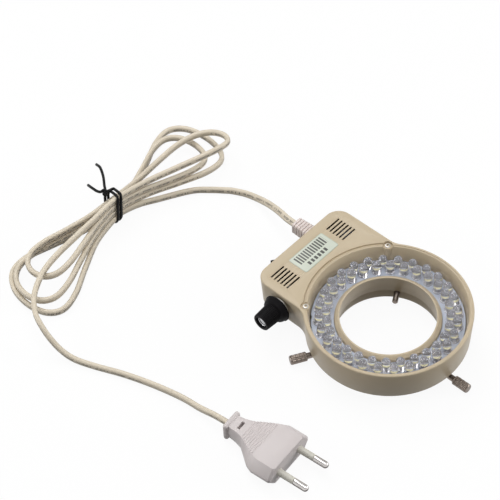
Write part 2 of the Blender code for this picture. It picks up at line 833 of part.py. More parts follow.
def build_driver(board, film, electrolytic, bridge, resistor):
    top = DRIVER_BOTTOM + BOARD_THICKNESS
    plate = block((DRIVER_X[0], DRIVER_Y[0], DRIVER_BOTTOM), (DRIVER_X[1], DRIVER_Y[1], top))
    add_object("driver_board", plate, board)
    add_object("film_capacitor", component(FILM_CAPACITOR, FILM_CAPACITOR_SHARES), film)
    bevel = ELECTROLYTIC_RADIUS / 10
    can = turned(
        [
            (0, 0),
            (ELECTROLYTIC_RADIUS, 0),
            (ELECTROLYTIC_RADIUS, ELECTROLYTIC_HEIGHT - bevel),
            (ELECTROLYTIC_RADIUS - bevel, ELECTROLYTIC_HEIGHT),
            (0, ELECTROLYTIC_HEIGHT),
        ],
        20,
    )
    moved(can, (*on_driver(ELECTROLYTIC_SHARES), top + SEAT))
    add_object("electrolytic_capacitor", can, electrolytic)
    add_object("bridge_rectifier", component(BRIDGE, BRIDGE_SHARES), bridge)
    body = rod(RESISTOR_RADIUS, -RESISTOR_LENGTH / 2, RESISTOR_LENGTH / 2, 12)
    moved(body, (*on_driver(RESISTOR_SHARES), top + SEAT + RESISTOR_RADIUS), ALONG_X)
    add_object("series_resistor", body, resistor)


# Dimmer


def dimmer_face():
    """X of the box's left face at the washer's upper edge, where the drafted wall stands out most."""
    return BOX_LEFT + draft_at(DIMMER_Z + WASHER_RADIUS)


def dimmer_inside():
    """X of the wall's inner face at the potentiometer's lower edge."""
    return BOX_LEFT + WALL + draft_at(DIMMER_Z - POT_RADIUS)


def place_dimmer(shape, x):
    """Turns a shape whose +Z is the outward way of the shaft, and puts its zero at x."""
    return moved(shape, (x, DIMMER_Y, DIMMER_Z), ALONG_MINUS_X)


def build_potentiometer(finish):
    inner = dimmer_inside() + SEAT
    out = inner - (dimmer_face() - SEAT - WASHER_THICKNESS - SEAT - NUT_THICKNESS - SEAT)
    bore = SHAFT_RADIUS + SHAFT_CLEARANCE
    profile = [
        (0, -POT_DEPTH),
        (POT_RADIUS, -POT_DEPTH),
        (POT_RADIUS, 0),
        (BUSHING_RADIUS, 0),
        (BUSHING_RADIUS, out),
        (bore, out),
        (bore, -POT_DEPTH / 4),
        (0, -POT_DEPTH / 4),
    ]
    body = place_dimmer(turned(profile, 24), inner)
    pot = add_object("potentiometer", body, finish)
    wafer = block(
        (inner + POT_DEPTH / 8, DIMMER_Y, DIMMER_Z - POT_RADIUS * 0.7),
        (inner + POT_DEPTH / 4, DIMMER_Y + POT_RADIUS * 1.3, DIMMER_Z + POT_RADIUS * 0.7),
    )
    shaft_way = rod(bore, -POT_DEPTH / 4, out, 24)
    place_dimmer(shaft_way, inner)
    combine(pot, add_cutter("wafer_guide", wafer), "UNION")
    combine(pot, add_cutter("shaft_way_cutter", shaft_way))


def build_dimmer_fixings(finish):
    face = dimmer_face() - SEAT
    bore = BUSHING_RADIUS + SEAT
    profile = [(bore, 0), (WASHER_RADIUS, 0), (WASHER_RADIUS, WASHER_THICKNESS), (bore, WASHER_THICKNESS)]
    washer = place_dimmer(turned(profile, 24), face)
    add_object("dimmer_washer", washer, finish)
    face -= WASHER_THICKNESS + SEAT
    hexagon = arc((0, 0), NUT_RADIUS, 0, math.tau * 5 / 6, 5)
    nut = add_object("dimmer_nut", place_dimmer(prism(hexagon, 0, NUT_THICKNESS), face), finish)
    hole = place_dimmer(rod(bore, -OVERRUN, NUT_THICKNESS + OVERRUN, 24), face)
    combine(nut, add_cutter("nut_bore_cutter", hole))


def fluted_ring(radius, height, depth):
    ring = []
    for index in range(3 * FLUTES):
        angle = math.tau * index / (3 * FLUTES)
        reach = radius - depth * (1 - math.cos(FLUTES * angle)) / 2
        ring.append((*polar(reach, angle)[:2], height))
    return ring


def build_knob(black, silver, steel):
    pivot = add_pivot("dimmer_axis", (dimmer_face(), DIMMER_Y, DIMMER_Z))
    start = KNOB_GAP
    end = KNOB_GAP + KNOB_LENGTH
    skirt = start + SKIRT_LENGTH
    tip = GRIP_RADIUS - GRIP_TAPER
    rounding = GRIP_TAPER
    levels = [
        (SKIRT_RADIUS - GRIP_TAPER, start, 0),
        (SKIRT_RADIUS, start + GRIP_TAPER, 0),
        (SKIRT_RADIUS, start + SKIRT_LENGTH / 3, 0),
        (GRIP_RADIUS + GRIP_TAPER, skirt - GRIP_TAPER, 0),
        (GRIP_RADIUS, skirt, 0),
        (GRIP_RADIUS, skirt + GRIP_TAPER, FLUTE_DEPTH),
        (tip, end - 2 * rounding, FLUTE_DEPTH),
        (tip, end - rounding, 0),
        (tip - rounding, end, 0),
    ]
    grip = lofted([fluted_ring(*level) for level in levels])
    knob = add_object("dimmer_knob", grip, black, pivot)
    knob.rotation_euler = (0, -math.pi / 2, 0)
    nut_room = NUT_RADIUS + 2 * SEAT
    nut_end = 2 * SEAT + WASHER_THICKNESS + NUT_THICKNESS + 3 * SEAT
    shaft_end = end - INSERT_THICKNESS - 4 * SEAT
    insert_seat = end - INSERT_THICKNESS
    hollow = turned(
        [
            (0, start - OVERRUN),
            (nut_room + SEAT, start - OVERRUN),
            (nut_room + SEAT, nut_end),
            (SHAFT_RADIUS + SEAT, nut_end),
            (SHAFT_RADIUS + SEAT, shaft_end),
            (0, shaft_end),
        ],
        24,
    )
    recess = rod(INSERT_RADIUS + SEAT, insert_seat, end + OVERRUN, 24)
    cutter = add_cutter("knob_hollow_cutter", joined([hollow, recess]), pivot)
    cutter.rotation_euler = knob.rotation_euler
    combine(knob, cutter)
    crown = INSERT_THICKNESS / 2
    cap = turned(
        [
            (0, insert_seat + SEAT),
            (INSERT_RADIUS, insert_seat + SEAT),
            (INSERT_RADIUS, end),
            (INSERT_RADIUS - crown, end + crown / 2),
            (0, end + crown / 2),
        ],
        24,
    )
    insert = add_object("knob_insert", cap, silver, pivot)
    insert.rotation_euler = knob.rotation_euler
    shaft_start = dimmer_face() - dimmer_inside() - POT_DEPTH / 4
    shaft = add_object("dimmer_shaft", rod(SHAFT_RADIUS, shaft_start, shaft_end - SEAT, 24), steel, pivot)
    shaft.rotation_euler = knob.rotation_euler


# Rocker switch


def switch_face():
    """Y of the box's back face at the upper edge of the bezel."""
    return BOX_BACK - draft_at(SWITCH_Z + BEZEL[1] / 2) + SEAT


def build_switch(finish):
    face = switch_face()
    bezel = block(
        (SWITCH_X - BEZEL[0] / 2, face, SWITCH_Z - BEZEL[1] / 2),
        (SWITCH_X + BEZEL[0] / 2, face + BEZEL[2], SWITCH_Z + BEZEL[1] / 2),
    )
    switch = add_object("switch_body", bezel, finish)
    bevel = switch.modifiers.new("bezel_edge", "BEVEL")
    bevel.width = BEZEL[2] / 4
    bevel.segments = 1
    box = block(
        (SWITCH_X - SWITCH_BODY[0] / 2, face - SWITCH_BODY[2], SWITCH_Z - SWITCH_BODY[1] / 2),
        (SWITCH_X + SWITCH_BODY[0] / 2, face + BEZEL[2] / 2, SWITCH_Z + SWITCH_BODY[1] / 2),
    )
    combine(switch, add_cutter("switch_box_guide", box), "UNION")
    swing = ROCKER_RADIUS * math.sin(ROCKER_TILT) + ROCKER_DEPTH
    half = ROCKER_RADIUS + SEAT
    well = block(
        (SWITCH_X - half, face - swing - 2 * SEAT, SWITCH_Z - ROCKER_WIDTH / 2 - SEAT),
        (SWITCH_X + half, face + BEZEL[2] + OVERRUN, SWITCH_Z + ROCKER_WIDTH / 2 + SEAT),
    )
    combine(switch, add_cutter("switch_well_cutter", well))


def build_rocker(finish):
    """The rocker, with its raised end towards -X, turned about its pivot in the bezel's plane."""
    pivot = add_pivot("rocker_axis", (SWITCH_X, switch_face(), SWITCH_Z))
    low = -ROCKER_DEPTH
    foot = math.asin(low / ROCKER_RADIUS)
    outline = arc((0, 0), ROCKER_RADIUS, foot, ROCKER_CREST, 4)
    outline += [(0, ROCKER_MID)]
    outline += arc((0, 0), ROCKER_RADIUS, math.pi - ROCKER_CREST, math.pi - foot, 4)
    shape = prism(outline, -ROCKER_WIDTH / 2, ROCKER_WIDTH / 2)
    rocker = add_object("switch_rocker", shape, finish, pivot)
    rocker.rotation_euler = (0, 0, -ROCKER_TILT)


# Cord gland


def build_gland(finish):
    """A moulded strain relief: inner flange, neck in the wall, outer flange and a ribbed taper."""
    wall_in = BOX_BACK - WALL - draft_at(GLAND_Z - GLAND_NECK) - SEAT
    wall_out = BOX_BACK - draft_at(GLAND_Z + GLAND_RADIUS) + SEAT
    start = wall_out + GLAND_FLANGE
    profile = [
        (0, wall_in - GLAND_FLANGE),
        (GLAND_NECK, wall_in - GLAND_FLANGE),
        (GLAND_LOCK, wall_in),
        (GLAND_NECK, wall_in),
        (GLAND_NECK, wall_out),
        (GLAND_RADIUS, wall_out),
        (GLAND_RADIUS, start),
    ]
    pitch = (GLAND_END - start) / GLAND_RIBS
    for rib in range(GLAND_RIBS):
        radius = GLAND_RADIUS + (GLAND_TIP_RADIUS - GLAND_RADIUS) * (rib + 1) / GLAND_RIBS
        groove = GLAND_TIP_RADIUS - SEAT
        place = start + rib * pitch
        profile += [
            (groove, place + pitch * 0.05),
            (groove, place + pitch * 0.4),
            (radius, place + pitch * 0.45),
            (radius, place + pitch * 0.95),
        ]
    profile += [(GLAND_TIP_RADIUS - SEAT, GLAND_END), (0, GLAND_END)]
    shape = moved(turned(profile, 16), (GLAND_X, 0, GLAND_Z), ALONG_Y)
    add_object("cord_gland", shape, finish)


# Thumbscrews


def knurled_ring(radius, height, depth):
    ring = []
    for index in range(2 * KNURLS):
        reach = radius - depth * (index % 2)
        ring.append((*polar(reach, math.pi * index / KNURLS)[:2], height))
    return ring


def build_thumbscrews(finish):
    collar = COLLAR_BORE + COLLAR_WALL
    neck_start = HEAD_START - (HEAD_START - collar) / 4
    rounding = HEAD_RADIUS / 5
    levels = [
        (THUMBSCREW_SHANK * 0.7, THUMBSCREW_TIP, 0),
        (THUMBSCREW_SHANK, THUMBSCREW_TIP + THUMBSCREW_SHANK * 0.4, 0),
        (THUMBSCREW_SHANK, neck_start, 0),
        (THUMBSCREW_NECK, neck_start, 0),
        (THUMBSCREW_NECK, HEAD_START, 0),
        (HEAD_RADIUS - rounding, HEAD_START, 0),
        (HEAD_RADIUS, HEAD_START + rounding, KNURL_DEPTH),
        (HEAD_RADIUS, HEAD_END - rounding, KNURL_DEPTH),
        (HEAD_RADIUS - rounding, HEAD_END, 0),
    ]
    for name, angle in THUMBSCREW_ANGLES:
        shape = lofted([knurled_ring(*level) for level in levels])
        shape.transform(ALONG_X)
        made = add_object(name, shape, finish)
        made.location = (0, 0, THUMBSCREW_Z)
        made.rotation_euler = (0, 0, angle)


# Label


def build_label(finish):
    outline = rounded_rectangle(LABEL[0], LABEL[1], LABEL_CORNER, 4)
    low = TOP + SEAT
    shape = moved(prism(outline, low, low + LABEL[2]), (*LABEL_AT, 0))
    add_object("label", shape, finish)


# Plug


def plug_matrix():
    """Local +X points the way of the pins, +Y across them, with the origin in the pin face."""
    return Matrix.Translation(PLUG_FACE) @ Matrix.Rotation(PLUG_HEADING, 4, "Z")


def plug_section(distance, middle, flat, thick):
    edge = thick / 8
    corners = [
        (middle, edge),
        (flat, thick),
        (-flat, thick),
        (-middle, edge),
        (-middle, -edge),
        (-flat, -thick),
        (flat, -thick),
        (middle, -edge),
    ]
    return [(-distance, side, height) for side, height in corners]


def build_plug(finish, sleeve_finish, pin_finish):
    sections = []
    for distance, middle, flat, thick in PLUG_SECTION_SHARES:
        sizes = (middle * PLUG_HALF_WIDTH, flat * PLUG_HALF_WIDTH, thick * PLUG_HALF_THICK)
        sections.append(plug_section(distance * PLUG_LENGTH, *sizes))
    plug = add_object("plug_body", lofted(sections), finish)
    plug.matrix_world = plug_matrix()
    width, height, depth = PLUG_FLANGE
    flange = rounded_rectangle(width, height, height / 4, 3)
    shape = prism(flange, PLUG_LENGTH - depth / 2, PLUG_LENGTH + depth / 2)
    shape.transform(ALONG_MINUS_X @ Matrix.Rotation(math.pi / 2, 4, "Z"))
    guide = add_cutter("plug_flange_guide", shape)
    guide.matrix_world = plug_matrix()
    combine(plug, guide, "UNION")
    sides = (-PIN_PITCH / 2, PIN_PITCH / 2)
    tip = PIN_RADIUS / 2
    pin_profile = [
        (0, SEAT),
        (PIN_CORE, SEAT),
        (PIN_CORE, PIN_SLEEVE + SEAT),
        (PIN_RADIUS, PIN_SLEEVE + SEAT),
        (PIN_RADIUS, PIN_LENGTH - tip),
        (PIN_RADIUS - tip * 0.6, PIN_LENGTH - tip * 0.25),
        (0, PIN_LENGTH),
    ]
    sleeve_profile = [
        (PIN_SLEEVE_BORE, SEAT),
        (PIN_RADIUS, SEAT),
        (PIN_RADIUS, PIN_SLEEVE),
        (PIN_SLEEVE_BORE, PIN_SLEEVE),
    ]
    for number, side in enumerate(sides, 1):
        pin = moved(turned(pin_profile, 16), (0, side, 0), ALONG_X)
        add_object(f"plug_pin_{number}", pin, pin_finish).matrix_world = plug_matrix()
        sleeve = moved(turned(sleeve_profile, 16), (0, side, 0), ALONG_X)
        add_object(f"pin_sleeve_{number}", sleeve, sleeve_finish).matrix_world = plug_matrix()


# Cord


def smooth_route(points, step):
    """Points about a step apart on a smooth curve through the route's own points."""
    points = [Vector(point) for point in points]
    ends = [2 * points[0] - points[1]] + points + [2 * points[-1] - points[-2]]
    fine = []
    for before, start, end, after in zip(ends, ends[1:], ends[2:], ends[3:]):
        pieces = 40
        for index in range(pieces):
            part = index / pieces
            fine.append(
                0.5
                * (
                    2 * start
                    + (end - before) * part
                    + (2 * before - 5 * start + 4 * end - after) * part**2
                    + (3 * start - before - 3 * end + after) * part**3
                )
            )
    fine.append(points[-1])
    travelled = [0.0]
    for first, second in zip(fine, fine[1:]):
        travelled.append(travelled[-1] + (second - first).length)
    count = max(2, round(travelled[-1] / step))
    spaced = []
    index = 0
    for number in range(count + 1):
        wanted = travelled[-1] * number / count
        while index < len(fine) - 2 and travelled[index + 1] < wanted:
            index += 1
        span = travelled[index + 1] - travelled[index]
        spaced.append(fine[index].lerp(fine[index + 1], (wanted - travelled[index]) / span))
    return spaced


def add_tube(name, points, radius, resolution, finish):
    curve = bpy.data.curves.new(name, "CURVE")
    curve.dimensions = "3D"
    curve.bevel_depth = radius
    curve.bevel_resolution = resolution
    curve.use_fill_caps = True
    spline = curve.splines.new("POLY")
    spline.points.add(len(points) - 1)
    for place, point in zip(spline.points, points):
        place.co = (*point, 1)
    curve.materials.append(finish)
    made = bpy.data.objects.new(name, curve)
    bpy.context.scene.collection.objects.link(made)
    return made


def layer_height(layer):
    return FLOOR_GAP + CORD_RADIUS + layer * LAYER


def waist_lift(distance):
    """How much the strands rise over the tie that passes under them, by distance from the waist."""
    share = max(0.0, 1 - (distance / WAIST_LIFT_REACH) ** 2)
    return (2 * TIE_RADIUS + 2 * SEAT) * share**2


def eased(value):
    value = min(1.0, max(0.0, value))
    return value * value * (3 - 2 * value)


def lobe(side, shares, layer, climbs, rise):
    """One end loop of the hank, from the waist out, round its tip and back to the waist."""
    reach_share, width_share, tip_share = shares
    reach = reach_share * HANK_REACH
    swell = width_share * HANK_HALF_WIDTH / WIDEST_SHARE
    tip = tip_share * HANK_HALF_WIDTH
    points = []
    for index in range(POINTS_PER_LOBE):
        angle = math.pi * index / POINTS_PER_LOBE
        out = math.sin(angle)
        across = side * math.cos(angle) * (WAIST_HALF + swell * out**2) + tip * out**2
        level = layer
        if climbs:
            level += eased((angle - CLIMB_START) / (CLIMB_END - CLIMB_START))
        lift = rise * out**2 * (1 - math.cos(angle)) / 2
        along = side * reach * out
        height = layer_height(level) + waist_lift(along) + lift
        points.append(Vector((HANK_CENTRE[0] + along, HANK_CENTRE[1] + across, height)))
    return points


def laid(points, layer):
    """Route points of the hank's two ends, at a layer's height."""
    return [
        Vector((x, y, layer_height(layer) + waist_lift(x - HANK_CENTRE[0]))) for x, y in points
    ]


def hank_points():
    """The lead comes in along the floor, makes three loops that lie on each other, and leaves on top."""
    waist = (HANK_CENTRE[0] + CORD_RADIUS, HANK_CENTRE[1] - WAIST_HALF)
    entry = laid(ENTRY_ROUTE + (waist,), 0)
    points = smooth_route(entry, 2 * CORD_STEP)[:-1]
    for layer, (left, right) in enumerate(zip(LEFT_LOBE_SHARES, RIGHT_LOBE_SHARES)):
        last = layer == len(LEFT_LOBE_SHARES) - 1
        points += lobe(-1, left, layer, False, 0.0)
        points += lobe(1, right, layer, True, TOP_LOOP_RISE if last else 0.0)
    waist = (HANK_CENTRE[0], HANK_CENTRE[1] - WAIST_HALF)
    points += smooth_route(laid((waist,) + EXIT_ROUTE, len(LEFT_LOBE_SHARES)), 2 * CORD_STEP)
    return points


def squared(points, before, after):
    """Sets each end point so that the first and last stretch run straight on from their neighbours."""
    if before:
        step = (before[-1] - before[-2]).normalized()
        points[0] = before[-1] + step * SEAT
        points[1] = points[0] + step * (points[1] - points[0]).length
    if after:
        step = (after[1] - after[0]).normalized()
        points[-1] = after[0] - step * SEAT
        points[-2] = points[-1] - step * (points[-1] - points[-2]).length
    return points


def segment_gap(first, second):
    """Least distance between two straight pieces."""
    start, along = first[0], first[1] - first[0]
    other_start, other_along = second[0], second[1] - second[0]
    between = start - other_start
    a, e, f = along.dot(along), other_along.dot(other_along), other_along.dot(between)
    b, c = along.dot(other_along), along.dot(between)
    spread = a * e - b * b
    s = min(1.0, max(0.0, (b * f - c * e) / spread)) if spread > 0 else 0.0
    t = (b * s + f) / e
    if t < 0:
        t = 0.0
        s = min(1.0, max(0.0, -c / a))
    elif t > 1:
        t = 1.0
        s = min(1.0, max(0.0, (b - c) / a))
    return (start + along * s - other_start - other_along * t).length


def least_gap(points, radius):
    """Least gap of a tube to itself, leaving out stretches that follow each other."""
    pieces = list(zip(points, points[1:]))
    least = math.inf
    for index, first in enumerate(pieces):
        way = 0.0
        for second in pieces[index + 1 :]:
            way += (second[0] - first[1]).length if way == 0.0 else 0.0
            way += (second[1] - second[0]).length
            if way > 8 * radius + (second[1] - second[0]).length:
                least = min(least, segment_gap(first, second))
    return least - 2 * radius


def build_cord(finish, tie_finish):
    lead = smooth_route(LEAD_ROUTE, 2 * CORD_STEP)
    tail = smooth_route(TAIL_ROUTE, 2 * CORD_STEP)
    hank = squared(hank_points(), lead, tail)
    print(f"hank: {len(hank)} points, least gap to itself {1000 * least_gap(hank, CORD_RADIUS):.2f} mm")
    add_tube("cord_lead", lead, CORD_RADIUS, 2, finish)
    add_tube("cord_hank", hank, CORD_RADIUS, 1, finish)
    add_tube("cord_tail", tail, CORD_RADIUS, 2, finish)
    build_tie(tie_finish)


def tie_turn():
    """One turn of the tie round the bundle, bent round its corner strands, as (y, z) from the hank's centre."""
    radius = CORD_RADIUS + TIE_GAP + TIE_RADIUS
    high = layer_height(len(LEFT_LOBE_SHARES)) + waist_lift(0)
    low = FLOOR_GAP + TIE_RADIUS + radius
    centres = ((WAIST_HALF, high), (-WAIST_HALF, high), (-WAIST_HALF, low), (WAIST_HALF, low))
    points = []
    for corner, centre in enumerate(centres):
        points += arc(centre, radius, corner * math.pi / 2, (corner + 1) * math.pi / 2, 4)
    return points


def build_tie(finish):
    turn = tie_turn()
    points = []
    total = TIE_TURNS * len(turn) + 1
    for index in range(total):
        y, z = turn[index % len(turn)]
        x = HANK_CENTRE[0] + TIE_PITCH * (index / len(turn) - TIE_TURNS / 2)
        points.append(Vector((x, HANK_CENTRE[1] + y, z)))
    size = layer_height(len(LEFT_LOBE_SHARES))
    first, last = (Vector(shares) * size for shares in TIE_END_SHARES)
    bow = Vector((0, 0, size / 10))
    points = [points[0] + first, points[0] + first / 2 + bow] + points
    points += [points[-1] + last / 2 + bow, points[-1] + last]
    add_tube("hank_tie", points, TIE_RADIUS, 1, finish)


def build_all():
    clear_scene()
    beige = material("housing_plastic", (0.62, 0.54, 0.40), 0.45)
    steel = material("screw_steel", (0.55, 0.53, 0.50), 0.35, 1.0)
    nickel = material("thumbscrew_nickel", (0.42, 0.37, 0.32), 0.4, 1.0)
    black = material("black_plastic", (0.012, 0.012, 0.013), 0.4)
    silver = material("silver_insert", (0.7, 0.7, 0.72), 0.25, 1.0)
    cord = material("cord_sheath", (0.76, 0.69, 0.57), 0.45)
    build_housing(beige)
    build_base_cover(beige)
    build_collar(beige)
    build_screws(steel)
    build_led_board(material("led_epoxy", (0.7, 0.72, 0.8), 0.15))
    build_driver(
        material("driver_board_mask", (0.05, 0.22, 0.1), 0.5),
        material("film_capacitor_case", (0.65, 0.5, 0.08), 0.45),
        material("electrolytic_sleeve", (0.02, 0.03, 0.06), 0.35),
        material("rectifier_epoxy", (0.02, 0.02, 0.02), 0.5),
        material("resistor_coating", (0.3, 0.42, 0.55), 0.4),
    )
    build_potentiometer(material("potentiometer_case", (0.5, 0.5, 0.48), 0.4, 1.0))
    build_dimmer_fixings(steel)
    build_knob(black, silver, steel)
    build_switch(black)
    build_rocker(black)
    build_gland(material("gland_plastic", (0.74, 0.66, 0.6), 0.5))
    build_thumbscrews(nickel)
    build_label(material("label_foil", (0.72, 0.78, 0.7), 0.35))
    build_plug(
        material("plug_plastic", (0.68, 0.63, 0.63), 0.5),
        material("pin_sleeve_plastic", (0.6, 0.6, 0.6), 0.45),
        material("pin_nickel", (0.75, 0.75, 0.76), 0.15, 1.0),
    )
    build_cord(cord, material("tie_plastic", (0.01, 0.01, 0.01), 0.45))


build_all()
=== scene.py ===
import json
import math

import bpy
from mathutils import Matrix, Vector

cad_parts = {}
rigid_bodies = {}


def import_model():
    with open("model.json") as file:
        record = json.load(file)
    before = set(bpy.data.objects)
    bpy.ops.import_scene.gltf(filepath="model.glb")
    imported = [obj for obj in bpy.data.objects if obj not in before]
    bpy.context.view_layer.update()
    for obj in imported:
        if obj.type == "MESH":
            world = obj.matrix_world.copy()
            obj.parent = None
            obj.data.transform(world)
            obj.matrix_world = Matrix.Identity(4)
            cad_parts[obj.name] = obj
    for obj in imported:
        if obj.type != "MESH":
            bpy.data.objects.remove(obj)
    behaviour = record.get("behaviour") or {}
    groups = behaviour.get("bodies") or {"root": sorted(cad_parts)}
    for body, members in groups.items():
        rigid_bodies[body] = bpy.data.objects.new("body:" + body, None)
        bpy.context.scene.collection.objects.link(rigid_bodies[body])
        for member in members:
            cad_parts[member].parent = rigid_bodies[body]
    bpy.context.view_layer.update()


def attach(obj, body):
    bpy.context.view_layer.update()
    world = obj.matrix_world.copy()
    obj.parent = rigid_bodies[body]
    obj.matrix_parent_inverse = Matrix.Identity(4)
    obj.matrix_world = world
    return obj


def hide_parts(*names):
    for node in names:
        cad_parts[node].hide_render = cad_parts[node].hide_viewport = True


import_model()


# Camera
# The light lies on a table with its cord tied in a hank behind it. It is seen from its front left and
# from above, through a long lens, with the whole cord in the picture.
camera_data = bpy.data.cameras.new("camera")
camera_data.lens = 129.6
camera_data.sensor_width = 36.0
camera_data.clip_end = 20.0
camera = bpy.data.objects.new("camera", camera_data)
bpy.context.scene.collection.objects.link(camera)
camera.matrix_world = Matrix((
    (0.68022, 0.57403, -0.45584, -0.485291),
    (-0.73199, 0.49923, -0.46364, -0.387781),
    (-0.03857, 0.64905, 0.75977, 0.804218),
    (0.0, 0.0, 0.0, 1.0),
))
bpy.context.scene.camera = camera
bpy.context.scene.view_settings.view_transform = "Standard"


# Table and lamps
# A white table under a soft lamp, with a second one high behind and two low ones at the sides of the view.
# The walls that look at the camera stay darker than the tops, as they are in the picture.
class Shade:
    """One value of a material. Sums, products and comparisons with it add Math nodes."""

    def __init__(self, tree, socket=None):
        self.tree = tree
        self.socket = socket

    def node(self, kind, settings=None, values=None, output=None):
        """Any node: its type, its settings, what goes into its sockets, and which output is read."""
        made = self.tree.nodes.new("ShaderNode" + kind)
        for name, value in (settings or {}).items():
            setattr(made, name, value)
        for name, value in (values or {}).items():
            if isinstance(name, int):
                slot = made.inputs[name]
            else:
                slot = next(item for item in made.inputs if item.enabled and item.name == name)
            if isinstance(value, Shade):
                self.tree.links.new(value.socket, slot)
            else:
                slot.default_value = value
        outputs = [item for item in made.outputs if item.enabled and output in (None, item.name)]
        return Shade(self.tree, outputs[0])

    def math(self, operation, *others):
        """A Math node that takes this value first."""
        return self.node("Math", {"operation": operation}, dict(enumerate((self, *others))))

    def __add__(self, other):
        return self.math("ADD", other)

    def __sub__(self, other):
        return self.math("SUBTRACT", other)

    def __rsub__(self, other):
        return self.node("Math", {"operation": "SUBTRACT"}, {0: other, 1: self})

    def __mul__(self, other):
        return self.math("MULTIPLY", other)

    def __truediv__(self, other):
        return self.math("DIVIDE", other)

    def __lt__(self, other):
        return self.math("LESS_THAN", other)

    def __gt__(self, other):
        return self.math("GREATER_THAN", other)

    __radd__ = __add__
    __rmul__ = __mul__


def axis(vector, name):
    return vector.node("SeparateXYZ", values={"Vector": vector}, output=name)


def tinted(share, first, second):
    """Mixes two colours, each of three numbers or from another node."""
    first, second = (tone if isinstance(tone, Shade) else (*tone, 1) for tone in (first, second))
    return share.node("Mix", {"data_type": "RGBA"}, {"Factor": share, "A": first, "B": second})


def feed(node, name, value):
    value.tree.links.new(value.socket, node.inputs[name])


def backdrop(shaded, share):
    """Lets the camera, metal and glass see white in place of what the lamps make of a surface."""
    seen = shaded.node("LightPath", output="Is Camera Ray")
    for ray in ("Is Glossy Ray", "Is Transmission Ray"):
        seen = seen + shaded.node("LightPath", output=ray)
    white = shaded.node("Emission", values={"Color": (1.0, 1.0, 1.0, 1.0), "Strength": 1.0})
    return shaded.node("MixShader", values={0: (seen > 0.5) * share, 1: shaded, 2: white})


bpy.ops.object.select_all(action="DESELECT")
bpy.ops.mesh.primitive_plane_add(size=12, location=(0, 0, -0.0003))
table = bpy.context.active_object
table.name = "table"
laminate = bpy.data.materials.new("white_table")
laminate.use_nodes = True
table.data.materials.append(laminate)
shader = laminate.node_tree.nodes["Principled BSDF"]
shader.inputs["Roughness"].default_value = 0.9
lit = Shade(laminate.node_tree, shader.outputs[0])
to_camera = lit.node("LightPath", output="Is Camera Ray")
feed(shader, "Base Color", tinted(to_camera, (0.1, 0.1, 0.1), (0.95, 0.95, 0.95)))
feed(laminate.node_tree.nodes["Material Output"], "Surface", backdrop(lit, 0.93))

world = bpy.data.worlds.new("studio")
world.use_nodes = True
bpy.context.scene.world = world
sky = world.node_tree.nodes["Background"]
sky.inputs["Color"].default_value = (1, 1, 1, 1)
sky.inputs["Strength"].default_value = 0.18
lit = Shade(world.node_tree, sky.outputs[0])
steep = axis(lit.node("TexCoord", output="Generated"), "Z").math("ABSOLUTE")
feed(world.node_tree.nodes["World Output"], "Surface", backdrop(lit, 1.0 - 0.8 * steep))

LAMP_TARGET = Vector((-0.02, 0.05, 0))
for lamp_place, lamp_size, lamp_power in (
    ((-0.12, -0.08, 1.40), 0.9, 7.5),
    ((0.30, 0.80, 1.20), 0.7, 7.2),
    ((-0.90, 0.75, 0.40), 0.7, 4.2),
    ((0.78, -0.84, 0.45), 0.7, 7.0),
):
    bpy.ops.object.light_add(type="AREA", location=lamp_place)
    lamp = bpy.context.active_object
    lamp.data.size = lamp_size
    lamp.data.energy = lamp_power
    lamp.rotation_euler = (LAMP_TARGET - lamp.location).to_track_quat("-Z", "Y").to_euler()


# Mains cord
# A flat two-core cord with a cream sheath. It leaves the gland, falls to the table, makes three loops at
# each end of a hank, and runs on to the plug. It stands on its edge, the way a flat cord bends.
CORD_WIDTH = 0.0043
CORD_THICKNESS = 0.0030
STRAND_RADIUS = 0.0019
LAYER = 0.0045
HANK_CENTRE = (-0.037, 0.181)
HANK_REACH = 0.082
HANK_HALF_WIDTH = 0.022
WAIST_HALF = 0.0023
TIE_LIFT = 0.0022
TIE_LIFT_REACH = 0.03
LOOP_SWELL = 0.385  # the largest value of cos(a) * sin(a) ** 2
CLIMB_START = 95
CLIMB_SPAN = 37


def layer_height(layer):
    return 0.0004 + STRAND_RADIUS + layer * LAYER


def waist_lift(distance):
    """The strands rise over the tie, which passes under them at the waist."""
    return TIE_LIFT * max(0.0, 1 - (distance / TIE_LIFT_REACH) ** 2) ** 2


def end_loop(side, reach_share, width_share, tip_share, layer, rise):
    """Route points of one end loop of the hank, out from the waist, round its tip and back."""
    swell = width_share * HANK_HALF_WIDTH / LOOP_SWELL
    tip = tip_share * HANK_HALF_WIDTH
    points = []
    for step in range(12):
        angle = math.pi * step / 12
        out = math.sin(angle)
        across = side * math.cos(angle) * (WAIST_HALF + swell * out**2) + tip * out**2
        level = layer
        if side > 0:
            climbed = min(1.0, max(0.0, (math.degrees(angle) - CLIMB_START) / CLIMB_SPAN))
            level += climbed * climbed * (3 - 2 * climbed)
        along = side * reach_share * HANK_REACH * out
        lift = rise * out**2 * (1 - math.cos(angle)) / 2
        height = layer_height(level) + waist_lift(along) + lift
        points.append((HANK_CENTRE[0] + along, HANK_CENTRE[1] + across, height))
    return points


def laid(points, layer):
    return [
        (x, y, layer_height(layer) + waist_lift(x - HANK_CENTRE[0]), *roll) for x, y, *roll in points
    ]


